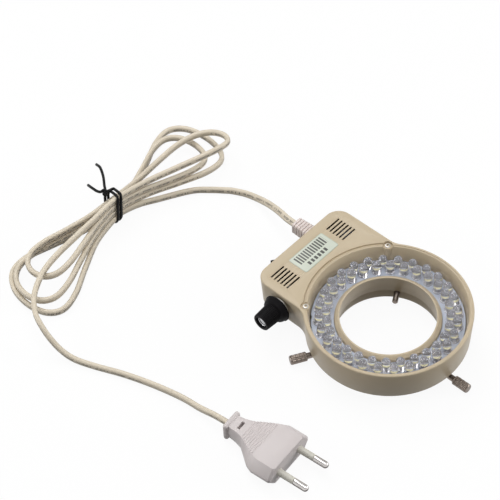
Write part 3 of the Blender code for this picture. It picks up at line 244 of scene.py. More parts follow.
def smooth_way(points, step):
    """Points a step apart on a smooth curve through the route. A fourth number is the cord's roll."""
    points = [Vector((*point, 0.0)[:4]) for point in points]
    ends = [2 * points[0] - points[1]] + points + [2 * points[-1] - points[-2]]
    fine = []
    for before, start, end, after in zip(ends, ends[1:], ends[2:], ends[3:]):
        for index in range(30):
            part = index / 30
            bend = 2 * before - 5 * start + 4 * end - after
            twist = 3 * start - before - 3 * end + after
            fine.append(0.5 * (2 * start + (end - before) * part + bend * part**2 + twist * part**3))
    fine.append(points[-1])
    travelled = way_lengths(fine)
    count = max(2, round(travelled[-1] / step))
    spaced = []
    index = 0
    for number in range(count + 1):
        wanted = travelled[-1] * number / count
        while index < len(fine) - 2 and travelled[index + 1] < wanted:
            index += 1
        share = (wanted - travelled[index]) / (travelled[index + 1] - travelled[index])
        spaced.append(fine[index].lerp(fine[index + 1], share))
    return spaced


def way_lengths(way):
    """How far along a way each of its points is."""
    travelled = [0.0]
    for first, second in zip(way, way[1:]):
        travelled.append(travelled[-1] + (second.xyz - first.xyz).length)
    return travelled


lead_route = [
    (0.0200, 0.0876, 0.0150, 0.8), (0.0203, 0.0940, 0.0149, 0.8), (0.0226, 0.1030, 0.0130, 0.75),
    (0.0256, 0.1135, 0.0087, 0.65), (0.0276, 0.1240, 0.0042, 0.5), (0.0268, 0.1335, 0.0024, 0.35),
]
entry_route = [
    (0.0232, 0.1415, 0.2), (0.0206, 0.1452, 0.15), (0.0150, 0.1523, 0.1),
    (0.0070, 0.1604), (-0.0102, 0.1703), (-0.0230, 0.1760), (-0.0351, 0.1787),
]
exit_route = [
    (-0.0370, 0.1787), (-0.0560, 0.1779), (-0.0720, 0.1770), (-0.0880, 0.1752),
    (-0.1010, 0.1722), (-0.1120, 0.1668), (-0.1195, 0.1610), (-0.1248, 0.1545),
]
tail_route = [
    (-0.1272, 0.1505, 0.0158), (-0.1290, 0.1455, 0.0148), (-0.1301, 0.1385, 0.0108),
    (-0.1298, 0.1300, 0.0058), (-0.1280, 0.1210, 0.0029), (-0.1236, 0.1090, 0.0023),
    (-0.1165, 0.0920, 0.0023), (-0.1107, 0.0740, 0.0023), (-0.1068, 0.0570, 0.0024),
    (-0.1060, 0.0440, 0.0038), (-0.1054, 0.0330, 0.0065), (-0.1045, 0.0234, 0.0069),
]
left_loops = ((0.99, 0.95, -0.46), (0.965, 0.7, -0.36), (0.82, 0.48, -0.1))
right_loops = ((1.0, 1.0, 0.18), (0.855, 0.74, 0.1), (1.0, 0.5, -0.55))
cord_route = lead_route + laid(entry_route, 0)
for layer, (left, right) in enumerate(zip(left_loops, right_loops)):
    cord_route += end_loop(-1, *left, layer, 0.0)
    cord_route += end_loop(1, *right, layer, 0.008 if layer == 2 else 0.0)
cord_route += laid(exit_route, 3) + tail_route
cord_way = smooth_way(cord_route, 0.0022)


def alone(piece):
    bpy.ops.object.select_all(action="DESELECT")
    bpy.context.view_layer.objects.active = piece
    piece.select_set(True)


def faced_out(piece):
    """Turns all faces of a closed body outwards."""
    alone(piece)
    bpy.ops.object.mode_set(mode="EDIT")
    bpy.ops.mesh.select_all(action="SELECT")
    bpy.ops.mesh.normals_make_consistent(inside=False)
    bpy.ops.object.mode_set(mode="OBJECT")


def smoothed(piece, degrees):
    """Shades a piece smooth, apart from edges sharper than an angle."""
    alone(piece)
    bpy.ops.object.shade_smooth_by_angle(angle=math.radians(degrees))


def swept(name, way, width, thickness, around):
    """A tube of oblong section along a way, its wide side upright, with its length and girth as UV."""
    straight = (width - thickness) / 2
    section = []
    for step in range(around):
        angle = math.tau * step / around
        across = math.sin(angle) * thickness / 2
        upright = math.cos(angle) * thickness / 2 + math.copysign(straight, math.cos(angle) + 1e-9)
        section.append((across, upright))
    corners = []
    for index, point in enumerate(way):
        ahead = way[min(index + 1, len(way) - 1)].xyz - way[max(index - 1, 0)].xyz
        ahead.normalize()
        side = ahead.cross(Vector((0, 0, 1))).normalized()
        top = side.cross(ahead)
        turn = Matrix.Rotation(point[3], 3, ahead)
        side = turn @ side
        top = turn @ top
        corners += [point.xyz + side * across + top * upright for across, upright in section]
    travelled = way_lengths(way)
    faces = []
    marks = []
    for index, (near, far) in enumerate(zip(travelled, travelled[1:])):
        row = index * around
        for step in range(around):
            after = (step + 1) % around
            faces.append((row + step, row + after, row + around + after, row + around + step))
            low, high = step / around, (step + 1) / around
            marks += [(near, low), (near, high), (far, high), (far, low)]
    faces.append(tuple(range(around))[::-1])
    faces.append(tuple(range(len(corners) - around, len(corners))))
    marks += [(0.0, 0.0)] * around + [(travelled[-1], 0.0)] * around
    mesh = bpy.data.meshes.new(name)
    mesh.from_pydata(corners, [], faces)
    layer = mesh.uv_layers.new(name="along")
    for loop, mark in zip(layer.data, marks):
        loop.uv = mark
    made = bpy.data.objects.new(name, mesh)
    bpy.context.scene.collection.objects.link(made)
    faced_out(made)
    smoothed(made, 50)
    return made


def noise(place, scale, detail=3.0):
    return place.node("TexNoise", values={"Vector": place, "Scale": scale, "Detail": detail})


def uneven(shader, height, strength, depth):
    feed(shader, "Normal", height.node(
        "Bump", values={"Height": height, "Strength": strength, "Distance": depth}
    ))


def opened(material):
    """The shader of a material, and the Object coordinates that its patterns read."""
    tree = material.node_tree
    return tree.nodes["Principled BSDF"], Shade(tree).node("TexCoord", output="Object")


def finish(
    name, colour, roughness, metallic=0.0, specular=0.5, tones=None, gloss=None, bumps=None
):
    """A material whose colour, roughness and surface vary with noise of a scale and detail.

    The tones are (first, second, *noise), the gloss is (roughness, what noise adds, *noise) and the bumps
    are (strength, depth, *noise).
    """
    made = bpy.data.materials.new(name)
    made.use_nodes = True
    shader, place = opened(made)
    shader.inputs["Base Color"].default_value = (*colour, 1)
    shader.inputs["Roughness"].default_value = roughness
    shader.inputs["Metallic"].default_value = metallic
    shader.inputs["Specular IOR Level"].default_value = specular
    if tones:
        first, second, *grain = tones
        feed(shader, "Base Color", tinted(noise(place, *grain), first, second))
    if gloss:
        least, added, *grain = gloss
        feed(shader, "Roughness", least + noise(place, *grain) * added)
    if bumps:
        strength, depth, *grain = bumps
        uneven(shader, noise(place, *grain), strength, depth)
    return made


def coated(piece, material):
    piece.data.materials.clear()
    piece.data.materials.append(material)


def dressed(piece, material, body, slot, *nodes):
    coated(piece, material)
    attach(piece, body)
    if nodes:
        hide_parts(*nodes)


LETTER = 0.00085
WORD = 0.0105
LINE = 0.16
cord = swept("mains_cord", cord_way, CORD_WIDTH, CORD_THICKNESS, 20)
sheath = finish(
    "cream_sheath", (0.71, 0.63, 0.50), 0.42,
    gloss=(0.38, 0.12, 300.0), bumps=(0.25, 0.00005, 900.0),
)
shader, place = opened(sheath)
uv = place.node("UVMap", {"uv_map": "along"})
along = axis(uv, "X")
in_letter, in_word, in_line = ((along / pitch).math("FRACT") for pitch in (LETTER, WORD, LINE))
letter = (along / LETTER).math("FLOOR")
chance = letter.node("TexWhiteNoise", {"noise_dimensions": "1D"}, {"W": letter}, "Value")
off_middle = ((axis(uv, "Y") * 2).math("FRACT") - 0.5).math("ABSOLUTE") / 2
band = off_middle < 0.014 + chance * 0.018
printed = band * (in_letter < 0.62) * (in_word < 0.8) * (in_line < 0.72) * (chance > 0.12)
tone = tinted(noise(place, 120.0), (0.69, 0.61, 0.48), (0.74, 0.66, 0.53))
feed(shader, "Base Color", tinted(printed * 0.85, tone, (0.05, 0.045, 0.04)))
dressed(cord, sheath, "light", "cord_sheath", "cord_lead", "cord_hank", "cord_tail")


# Tie of the hank
# A black coated wire, bent twice round the waist of the hank. Its ends are twisted once over each other
# on the top and stand off to the back.
TIE_WIRE = 0.00075
TIE_START = -0.0400
TIE_PITCH = 0.0052
TIE_SLANT = 0.0016
TIE_POWER = 0.45
tie_side = WAIST_HALF + CORD_THICKNESS / 2 + TIE_WIRE + 0.0002
tie_top = layer_height(3) + TIE_LIFT + CORD_WIDTH / 2 + TIE_WIRE
half_height = (tie_top - TIE_WIRE - 0.0003) / 2
tie_wrap = []
for step in range(33):
    share = step / 32
    angle = math.radians(60) - math.tau * 2 * share
    lean, climb = math.cos(angle), math.sin(angle)
    tie_wrap.append((
        TIE_START + TIE_PITCH * share + TIE_SLANT * climb,
        HANK_CENTRE[1] + math.copysign(tie_side * abs(lean) ** TIE_POWER, lean),
        tie_top - half_height + math.copysign(half_height * abs(climb) ** TIE_POWER, climb),
    ))
tie_route = [
    (-0.0262, 0.2060, 0.0205), (-0.0281, 0.2005, 0.0232), (-0.0322, 0.1935, 0.0240),
    (-0.0366, 0.1880, 0.0232), (-0.0387, 0.1852, 0.0225), (-0.0405, 0.1849, 0.0218),
    (-0.0405, 0.1838, 0.0210), *tie_wrap, (-0.0379, 0.1842, 0.0222),
    (-0.0391, 0.1858, 0.0231), (-0.0412, 0.1865, 0.0226), (-0.0420, 0.1890, 0.0222),
    (-0.0418, 0.1935, 0.0216), (-0.0402, 0.1988, 0.0188),
]
tie = swept("tie", smooth_way(tie_route, 0.0006), 2 * TIE_WIRE + 0.0003, 2 * TIE_WIRE + 0.0002, 10)
coating = finish(
    "tie_coating", (0.004, 0.004, 0.0045), 0.38, specular=0.15,
    gloss=(0.3, 0.2, 700.0), bumps=(0.3, 0.00006, 1600.0),
)
dressed(tie, coating, "light", "tie_plastic", "hank_tie")


# Plug
# A flat two-pin mains plug moulded round the cord's end in pale pinkish grey plastic: a six-sided block
# that narrows to a neck, grip ribs across both faces, a hole through the neck and a thick rim behind it.
def turned(degrees, around):
    return Matrix.Rotation(math.radians(degrees), 4, around)


def shaped(piece, kind, **settings):
    """Adds a modifier with its settings and applies it."""
    alone(piece)
    step = piece.modifiers.new("step", kind)
    for name, value in settings.items():
        setattr(step, name, value)
    bpy.ops.object.modifier_apply(modifier=step.name)


def combined(piece, other, operation):
    """Joins another body to a piece or cuts it from the piece, and removes the other."""
    shaped(piece, "BOOLEAN", object=other, operation=operation, solver="EXACT")
    bpy.data.objects.remove(other, do_unlink=True)


def cut(piece, other):
    combined(piece, other, "DIFFERENCE")


def settled(piece, place=None):
    """Puts a piece in its place for good, so that its object stays at the origin."""
    if place is not None:
        piece.matrix_world = place @ piece.matrix_world
    alone(piece)
    bpy.ops.object.transform_apply(location=True, rotation=True, scale=True)
    return piece


def block(low, high):
    bpy.ops.object.select_all(action="DESELECT")
    middle = [(a + b) / 2 for a, b in zip(low, high)]
    bpy.ops.mesh.primitive_cube_add(size=1, location=middle, scale=[b - a for a, b in zip(low, high)])
    return settled(bpy.context.active_object)


def edged(piece, width, segments=2, limit=30, smooth=35):
    """Rounds the sharp edges of a piece and shades it smooth between them."""
    shaped(
        piece,
        "BEVEL",
        width=width,
        segments=segments,
        limit_method="ANGLE",
        angle_limit=math.radians(limit),
        harden_normals=False,
    )
    smoothed(piece, smooth)


def between(table, value):
    """Reads a table of (place, numbers ...) at a place: straight over the block, curved over the neck."""
    for index, (low, high) in enumerate(zip(table, table[1:])):
        if value <= high[0]:
            break
    span = high[0] - low[0]
    share = (value - low[0]) / span
    before = table[index - 1] if low[0] > PLUG_BLOCK else low
    after = table[index + 2] if low[0] >= PLUG_BLOCK and index + 2 < len(table) else high
    found = []
    for early, a, b, late in zip(before[1:], low[1:], high[1:], after[1:]):
        rise = (b - early) / (high[0] - before[0]) * span
        fall = (late - a) / (after[0] - low[0]) * span
        bend = (rise - (b - a)) * (1 - share) ** 2 * share - (fall - (b - a)) * share**2 * (1 - share)
        found.append(a + (b - a) * share + bend)
    return found


def plug_outline(middle, flat, thick):
    """The six-sided section of the plug, as (across, up), round its middle."""
    edge = thick * 0.12
    return [
        (middle, edge), (flat, thick), (-flat, thick), (-middle, edge),
        (-middle, -edge), (-flat, -thick), (flat, -thick), (middle, -edge),
    ]


PLUG_TURN = Matrix.Translation((-0.1006, -0.0166, 0.0069)) @ turned(-84.5, "Z")
PLUG_BLOCK = 0.0123
PLUG_LENGTH = 0.0385
PLUG_SECTIONS = (
    (0.0, 0.0168, 0.0122, 0.0064),
    (0.0011, 0.01765, 0.0131, 0.00685),
    (PLUG_BLOCK, 0.01765, 0.0131, 0.00685),
    (0.0150, 0.0166, 0.0121, 0.00685),
    (0.0173, 0.0153, 0.0111, 0.00680),
    (0.0223, 0.0113, 0.0087, 0.00664),
    (0.0277, 0.0074, 0.0060, 0.00616),
    (0.0331, 0.0056, 0.0048, 0.00534),
    (PLUG_LENGTH, 0.0051, 0.0044, 0.00493),
)
RIB_START = 0.0150
RIB_PITCH = 0.00155
RIB_COUNT = 8
RIB_DEPTH = 0.00048
plug_steps = [0.0, 0.0011, 0.0060, PLUG_BLOCK, 0.0138]
plug_steps += [RIB_START + RIB_PITCH * step / 4 for step in range(4 * RIB_COUNT + 1)]
plug_steps += [0.0288, 0.0306, 0.0324, 0.0345, 0.0365, PLUG_LENGTH]
bpy.ops.object.select_all(action="DESELECT")
bpy.ops.mesh.primitive_grid_add(x_subdivisions=8, y_subdivisions=len(plug_steps) - 1, size=1)
plug = bpy.context.active_object
plug.name = plug.data.name = "plug_moulding"
for number, vertex in enumerate(plug.data.vertices):
    row, column = divmod(number, 9)
    middle, flat, thick = between(PLUG_SECTIONS, plug_steps[row])
    rib = (plug_steps[row] - RIB_START) / RIB_PITCH
    if 0 < rib < RIB_COUNT:
        thick -= RIB_DEPTH * (0.5 - 0.5 * math.cos(math.tau * rib)) ** 2
    across, up = plug_outline(middle, flat, thick)[column % 8]
    vertex.co = (-plug_steps[row], across, up)
alone(plug)
bpy.ops.object.mode_set(mode="EDIT")
bpy.ops.mesh.select_all(action="SELECT")
bpy.ops.mesh.remove_doubles(threshold=0.000001)
bpy.ops.mesh.fill_holes(sides=0)
bpy.ops.object.mode_set(mode="OBJECT")
faced_out(plug)

rim = block((-PLUG_LENGTH - 0.00155, -0.0065, -0.0060), (-PLUG_LENGTH + 0.00155, 0.0065, 0.0060))
shaped(rim, "BEVEL", width=0.00148, segments=6, limit_method="NONE")
combined(plug, rim, "UNION")
cut(plug, block((-0.0329, -0.0026, -0.015), (-0.0309, 0.0026, 0.015)))
edged(plug, 0.00028, limit=24, smooth=40)
settled(plug, PLUG_TURN)
moulding = finish(
    "plug_moulding", (0.64, 0.585, 0.58), 0.44,
    tones=((0.615, 0.562, 0.555), (0.665, 0.61, 0.60), 90.0, 4.0),
    gloss=(0.36, 0.16, 450.0), bumps=(0.22, 0.00005, 2600.0, 2.0),
)
dressed(plug, moulding, "light", "plug_plastic", "plug_body")


# Pins of the plug
# Two round brass pins with bright nickel plating and rounded tips. Each has a light grey sleeve over its
# inner half, which lies flush with the pin and spreads a little where it meets the plug.
PIN_RADIUS = 0.002
PIN_LENGTH = 0.019
PIN_SIDE = 0.009
PIN_TIP = 0.0017
SLEEVE_END = 0.010
# Where the pins' painted reflection turns from dark to bright: a band about 1 mm wide, near 7.6 mm up.
REFLECTION_BAND = 0.001
REFLECTION_LEVEL = 7.6
ALONG_X = turned(90, "Y")


def polar(reach, angle, centre=(0.0, 0.0)):
    return centre[0] + reach * math.cos(angle), centre[1] + reach * math.sin(angle)


def circle(radius, vertices):
    return [polar(radius, math.tau * step / vertices) for step in range(vertices)]


def domed(start, height, angles):
    """The steps of a rounded end."""
    return [(start + height * math.sin(angle), math.cos(angle)) for angle in angles]


def ringed(name, outline, steps):
    """A closed body from a flat outline that is extruded and scaled ring by ring along Z.

    The steps are (height, scale) or (height, scale in X, scale in Y), each against the outline itself.
    """
    steps = [(height, scales[0], scales[-1]) for height, *scales in steps]
    bpy.ops.object.select_all(action="DESELECT")
    bpy.ops.mesh.primitive_circle_add(vertices=len(outline), radius=1.0, fill_type="NGON")
    made = bpy.context.active_object
    made.name = made.data.name = name
    height, wide, deep = steps[0]
    for vertex, (x, y) in zip(made.data.vertices, outline):
        vertex.co = (x * wide, y * deep, height)
    bpy.ops.object.mode_set(mode="EDIT")
    bpy.ops.mesh.select_mode(type="FACE")
    bpy.ops.mesh.select_all(action="SELECT")
    for new_height, new_wide, new_deep in steps[1:]:
        bpy.ops.mesh.extrude_region_move(TRANSFORM_OT_translate={"value": (0, 0, new_height - height)})
        bpy.ops.transform.resize(
            value=(new_wide / wide, new_deep / deep, 1.0), center_override=(0, 0, 0)
        )
        height, wide, deep = new_height, new_wide, new_deep
    bpy.ops.object.mode_set(mode="OBJECT")
    faced_out(made)
    return made


nickel = finish("nickel_plate", (0.72, 0.72, 0.73), 0.12, metallic=1.0, gloss=(0.08, 0.12, 500.0))
shader, place = opened(nickel)
# Painted reflection: the pins' colour is dark below a height on Z and bright above it, with noise along
# the change.
painted_reflection = axis(place, "Z") / REFLECTION_BAND - REFLECTION_LEVEL + noise(place, 300.0)
feed(shader, "Base Color", tinted(painted_reflection, (0.06, 0.045, 0.04), (0.78, 0.75, 0.73)))
grey_sleeve = finish("pin_sleeve", (0.63, 0.61, 0.54), 0.42, gloss=(0.36, 0.14, 600.0))
pin_steps = [(0.0003, 0.66), (SLEEVE_END, 0.66), (SLEEVE_END + 0.0003, 1.0)]
pin_steps += domed(PIN_LENGTH - PIN_TIP, PIN_TIP, (0, 0.4, 0.8, 1.15, 1.4))
sleeve_steps = [(0.0, 1.12), (0.0006, 1.03), (SLEEVE_END - 0.0005, 1.0), (SLEEVE_END, 0.9)]
for number, side in ((1, -PIN_SIDE), (2, PIN_SIDE)):
    for name, steps, material, slot, node in (
        (f"pin_{number}", pin_steps, nickel, "pin_nickel", f"plug_pin_{number}"),
        (f"sleeve_{number}", sleeve_steps, grey_sleeve, "pin_sleeve_plastic", f"pin_sleeve_{number}"),
    ):
        piece = ringed(name, circle(PIN_RADIUS, 28), steps)
        smoothed(piece, 35)
        settled(piece, PLUG_TURN @ Matrix.Translation((0, side, 0)) @ ALONG_X)
        dressed(piece, material, "light", slot, node)


# Housing
# One moulding of beige plastic: the ring with its tall wall, and the flat box that runs on from it. The
# wall leans in towards the table outside and towards the LEDs inside, and its rim has a small step. Behind
# the box's crease the rim stands a hair lower, and two half-round bosses hold the cover screws.
RING_RADIUS = 0.0472
TOP = 0.0278
SHELL_BOTTOM = 0.0089
WALL = 0.0018
DRAFT = 0.001
EDGE_ROUND = 0.0008
BOX_LEFT = -0.03261
BOX_RIGHT = 0.03853
BOX_BACK = 0.07096
BOX_CORNER = 0.009
BLEND = 0.012
BOARD_TOP = 0.0179
BOSS_SPOTS = [polar(0.0456, math.radians(degrees)) for degrees in (40.5, 129.3)]


def arc(centre, radius, start, end, steps):
    return [polar(radius, start + (end - start) * step / steps, centre) for step in range(steps + 1)]


def housing_outline(inset):
    """The ring, the box and the hollow blends between them, seen from above."""
    reach = RING_RADIUS + BLEND
    right_blend = (BOX_RIGHT + BLEND, math.sqrt(reach**2 - (BOX_RIGHT + BLEND) ** 2))
    left_blend = (BOX_LEFT - BLEND, math.sqrt(reach**2 - (BOX_LEFT - BLEND) ** 2))
    right_angle = math.atan2(right_blend[1], right_blend[0])
    left_angle = math.atan2(left_blend[1], left_blend[0])
    corner = BOX_CORNER - inset
    points = arc((0, 0), RING_RADIUS - inset, left_angle, right_angle + math.tau, 130)
    points += arc(right_blend, BLEND + inset, right_angle + math.pi, math.pi, 10)[1:]
    points += arc((BOX_RIGHT - BOX_CORNER, BOX_BACK - BOX_CORNER), corner, 0, math.pi / 2, 12)
    points += arc((BOX_LEFT + BOX_CORNER, BOX_BACK - BOX_CORNER), corner, math.pi / 2, math.pi, 12)
    points += arc(left_blend, BLEND + inset, 0, left_angle - math.pi, 10)[:-1]
    return points


def box_outline(inset):
    """The inside of the box, closed by the outer face of the ring's wall."""
    left, right, back = BOX_LEFT + inset, BOX_RIGHT - inset, BOX_BACK - inset
    corner = BOX_CORNER - inset
    points = arc((0, 0), RING_RADIUS, math.acos(left / RING_RADIUS), math.acos(right / RING_RADIUS), 40)
    points += arc((right - corner, back - corner), corner, 0, math.pi / 2, 8)
    points += arc((left + corner, back - corner), corner, math.pi / 2, math.pi, 8)
    return points


def extruded(outline, low, high, name="cutter"):
    return ringed(name, outline, [(low, 1.0), (high, 1.0)])


def rod(radius, low, high, vertices, spot=(0.0, 0.0), name="cutter"):
    made = extruded(circle(radius, vertices), low, high, name)
    return settled(made, Matrix.Translation((*spot, 0.0)))


def joined(pieces, name="cutters"):
    """Makes one object of several."""
    bpy.ops.object.select_all(action="DESELECT")
    for piece in pieces:
        piece.select_set(True)
    bpy.context.view_layer.objects.active = pieces[0]
    bpy.ops.object.join()
    made = bpy.context.active_object
    made.name = made.data.name = name
    return made


def rods(radius, low, high, vertices, spots):
    return joined([rod(radius, low, high, vertices, spot) for spot in spots])


def layered(name, rings):
    """A closed body from rings (outline, height) of equally many points, each extruded from the last."""
    outline, height = rings[0]
    made = ringed(name, outline, [(height, 1.0)])
    for next_outline, next_height in rings[1:]:
        bpy.ops.object.mode_set(mode="EDIT")
        bpy.ops.mesh.extrude_region_move(TRANSFORM_OT_translate={"value": (0, 0, next_height - height)})
        bpy.ops.object.mode_set(mode="OBJECT")
        for vertex in made.data.vertices:
            if vertex.select:
                gaps = [(x - vertex.co.x) ** 2 + (y - vertex.co.y) ** 2 for x, y in outline]
                x, y = next_outline[gaps.index(min(gaps))]
                vertex.co = (x, y, next_height)
        outline = next_outline
        height = next_height
    faced_out(made)
    return made


shell_rings = [(housing_outline(DRAFT), SHELL_BOTTOM), (housing_outline(0.0), TOP - EDGE_ROUND)]
for part in range(1, 6):
    turn = part * math.pi / 12
    inset = EDGE_ROUND * (1 - math.cos(turn))
    shell_rings.append((housing_outline(inset), TOP - EDGE_ROUND + EDGE_ROUND * math.sin(turn)))
shell_rings.append((housing_outline(EDGE_ROUND * 0.9), TOP))
housing = layered("housing_moulding", shell_rings)

cut(housing, ringed("trough", circle(RING_RADIUS - WALL, 160), [
    (SHELL_BOTTOM - 0.002, 0.95), (BOARD_TOP, 0.953), (TOP - 0.0008, 0.985),
    (TOP - 0.0005, 0.99), (TOP - 0.00049, 1.008), (TOP + 0.002, 1.008),
]))
cut(housing, extruded(box_outline(WALL + DRAFT / 2), SHELL_BOTTOM + 0.0019, TOP - 0.0018))
cut(housing, extruded(housing_outline(WALL + DRAFT), SHELL_BOTTOM - 0.002, SHELL_BOTTOM + 0.0023))
cut(housing, rods(0.0029, TOP - 0.0017, TOP + 0.002, 36, BOSS_SPOTS))
combined(housing, rods(0.0023, 0.0160, TOP - 0.00095, 36, BOSS_SPOTS), "UNION")

VENT_MIDDLE = 0.0025
VENT_REACH = 0.0236
VENT_FIRST = 0.0634
VENT_PITCH = 0.00237
VENT_RADIUS = 0.00057
VENT_END = 0.00495
vent_outline = arc((VENT_END, 0), VENT_RADIUS, -math.pi / 2, math.pi / 2, 6)
vent_outline += arc((-VENT_END, 0), VENT_RADIUS, math.pi / 2, math.pi * 3 / 2, 6)
vent_middles = (VENT_MIDDLE - VENT_REACH, VENT_MIDDLE + VENT_REACH)
vents = []
for middle in vent_middles:
    for number in range(6):
        vent = extruded(vent_outline, TOP - 0.004, TOP + 0.002)
        vents.append(settled(vent, Matrix.Translation((middle, VENT_FIRST - number * VENT_PITCH, 0))))
cut(housing, joined(vents))
for middle in vent_middles:
    cut(housing, block((middle - 0.0061, 0.0500, TOP - 0.0030), (middle + 0.0061, 0.0650, TOP - 0.0004)))

crease = rod(RING_RADIUS, TOP - 0.0011, TOP + 0.002, 200)
cut(crease, rod(RING_RADIUS - 0.0010, TOP - 0.002, TOP + 0.003, 200))
ledge = rod(RING_RADIUS - 0.0005, TOP - 0.0004, TOP + 0.002, 200)
cut(ledge, rod(RING_RADIUS - WALL - 0.002, TOP - 0.001, TOP + 0.003, 200))
combined(crease, ledge, "UNION")
wedge_outline = [(0.0, 0.0)] + arc((0, 0), 0.08, math.radians(39.5), math.radians(130.5), 8)
combined(crease, extruded(wedge_outline, TOP - 0.003, TOP + 0.004), "INTERSECT")
cut(housing, crease)

DIMMER_Y = 0.051
DIMMER_Z = 0.0183
GLAND_X = 0.02
GLAND_Z = 0.015
SWITCH_X = -0.0095
SWITCH_Z = 0.0181
ALONG_Y = turned(-90, "X")
dimmer_hole = rod(0.004, -0.004, 0.005, 32)
cut(housing, settled(dimmer_hole, Matrix.Translation((BOX_LEFT, DIMMER_Y, DIMMER_Z)) @ ALONG_X))
gland_hole = rod(0.0036, -0.005, 0.004, 32)
cut(housing, settled(gland_hole, Matrix.Translation((GLAND_X, BOX_BACK, GLAND_Z)) @ ALONG_Y))
cut(housing, block(
    (SWITCH_X - 0.0077, BOX_BACK - 0.006, SWITCH_Z - 0.0052),
    (SWITCH_X + 0.0077, BOX_BACK + 0.004, SWITCH_Z + 0.0052),
))
edged(housing, 0.00018, limit=32, smooth=32)
beige = finish(
    "beige_plastic", (0.57, 0.475, 0.335), 0.34, specular=0.25,
    tones=((0.555, 0.462, 0.324), (0.585, 0.488, 0.346), 35.0, 4.0),
    gloss=(0.26, 0.16, 260.0, 4.0), bumps=(0.3, 0.00005, 3200.0, 2.0),
)
dressed(housing, beige, "light", "housing_plastic", "housing")


# Cover screws
# Two small zinc-plated cross-head screws, sunk in the bosses between ring and box. Seen from above they
# are a bright rim round a dark cross.
def cross_screw(name):
    """A pan-head screw on Z with its head's underside at zero and its cross recess on top."""
    head = ringed(name, circle(0.00165, 28), [
        (0.0, 1.0), (0.00045, 1.0), (0.0007, 0.93), (0.00085, 0.72), (0.0009, 0.4),
    ])
    shank = ringed("shank", circle(0.001, 20), [(-0.0042, 0.3), (-0.0035, 1.0), (0.0003, 1.0)])
    combined(head, shank, "UNION")
    recess, bar = (block((-0.0010, -0.00022, 0.00035), (0.0010, 0.00022, 0.0016)) for _ in range(2))
    combined(recess, settled(bar, turned(90, "Z")), "UNION")
    combined(recess, rod(0.00088, -0.0016, 0.0015, 20), "UNION")
    cut(head, recess)
    smoothed(head, 40)
    return head


zinc = finish(
    "zinc_plate", (0.66, 0.65, 0.63), 0.3, metallic=1.0,
    tones=((0.52, 0.50, 0.47), (0.68, 0.66, 0.62), 500.0), gloss=(0.32, 0.2, 900.0),
)
for number, spot in enumerate(BOSS_SPOTS, 1):
    screw = cross_screw(f"top_screw_{number}")
    settled(screw, Matrix.Translation((*spot, TOP - 0.00105)) @ Matrix.Rotation(0.5 * number, 4, "Z"))
    dressed(screw, zinc, "light", "screw_steel", f"cover_screw_{number}")


# Base cover
# A second beige moulding closes the ring and the box from below. A thin sleeve with a sloping shoulder
# rises from it inside the LED ring, and its lower edge is the ledge that the microscope's head stops on.
SLEEVE_BORE = 0.0273
SLEEVE_TOP = 0.0209
LEDGE = 0.0131
BASE_TOP = SHELL_BOTTOM + 0.002
base = extruded(housing_outline(WALL + DRAFT + 0.0003), SHELL_BOTTOM, BASE_TOP, "base_moulding")
combined(base, ringed("sleeve_wall", circle(SLEEVE_BORE + 0.0026, 144), [
    (BASE_TOP - 0.001, 1.0), (SLEEVE_TOP - 0.0016, 1.0), (SLEEVE_TOP - 0.0011, 0.985),
    (SLEEVE_TOP - 0.0004, 0.95), (SLEEVE_TOP, 0.934),
]), "UNION")
cut(base, ringed("sleeve_bore", circle(SLEEVE_BORE, 144), [
    (SHELL_BOTTOM - 0.002, 1.026), (LEDGE, 1.026), (LEDGE + 0.0003, 1.0),
    (SLEEVE_TOP - 0.0012, 1.0), (SLEEVE_TOP - 0.0007, 0.99), (SLEEVE_TOP + 0.002, 0.99),
]))
base_spots = [polar(0.0426, math.radians(degrees)) for degrees in (-60, -120)] + [(0.0018, 0.065)]
cut(base, rods(0.0021, SHELL_BOTTOM - 0.001, SHELL_BOTTOM + 0.0012, 28, base_spots))
edged(base, 0.0002, limit=32, smooth=32)
dressed(base, beige, "light", "housing_plastic", "base_cover")
for number, spot in enumerate(base_spots, 1):
    screw = cross_screw(f"under_screw_{number}")
    settled(screw, Matrix.Translation((*spot, SHELL_BOTTOM + 0.0009)) @ turned(180, "X"))
    dressed(screw, zinc, "light", "screw_steel", f"base_screw_{number}")


# Mounting collar
# A thick beige ring screwed under the base cover. The microscope's head goes up its bore, and three
# thumbscrews go through its wall, each in a threaded hole.
COLLAR_BORE = 0.0305
COLLAR_OUTER = 0.0355
COLLAR_TOP = SHELL_BOTTOM - 0.0003
CLAMP_HEIGHT = 0.004
CLAMPS = (("front", -90), ("right", 30), ("left", 150))


def clamp_place(degrees):
    return Matrix.Translation((0, 0, CLAMP_HEIGHT)) @ turned(degrees, "Z") @ ALONG_X


collar = rod(COLLAR_OUTER, 0.0, COLLAR_TOP, 144, name="collar")
cut(collar, rod(COLLAR_BORE, -0.002, COLLAR_TOP + 0.002, 144))
for _, degrees in CLAMPS:
    hole = ringed("hole", circle(0.0018, 24), [
        (COLLAR_BORE - 0.002, 1.25), (COLLAR_BORE + 0.0012, 1.0), (COLLAR_OUTER + 0.002, 1.0),
    ])
    cut(collar, settled(hole, clamp_place(degrees)))
edged(collar, 0.00045, segments=3, limit=35)
dressed(collar, beige, "light", "housing_plastic", "mount_collar")
for number in (1, 2, 3):
    coated(bpy.data.objects[f"collar_screw_{number}"], zinc)


# LED board
# A flat ring of circuit board, white solder mask, cut out round the two bosses. Its colour is painted
# blue-grey: painted shade for the ring's wall, which shades the white mask blue.
board = rod(0.0429, BOARD_TOP - 0.0016, BOARD_TOP, 144, name="led_ring_board")
cut(board, rod(0.0301, BOARD_TOP - 0.004, BOARD_TOP + 0.002, 144))
cut(board, rods(0.0033, BOARD_TOP - 0.004, BOARD_TOP + 0.002, 32, BOSS_SPOTS))
edged(board, 0.0001, segments=1, limit=35)
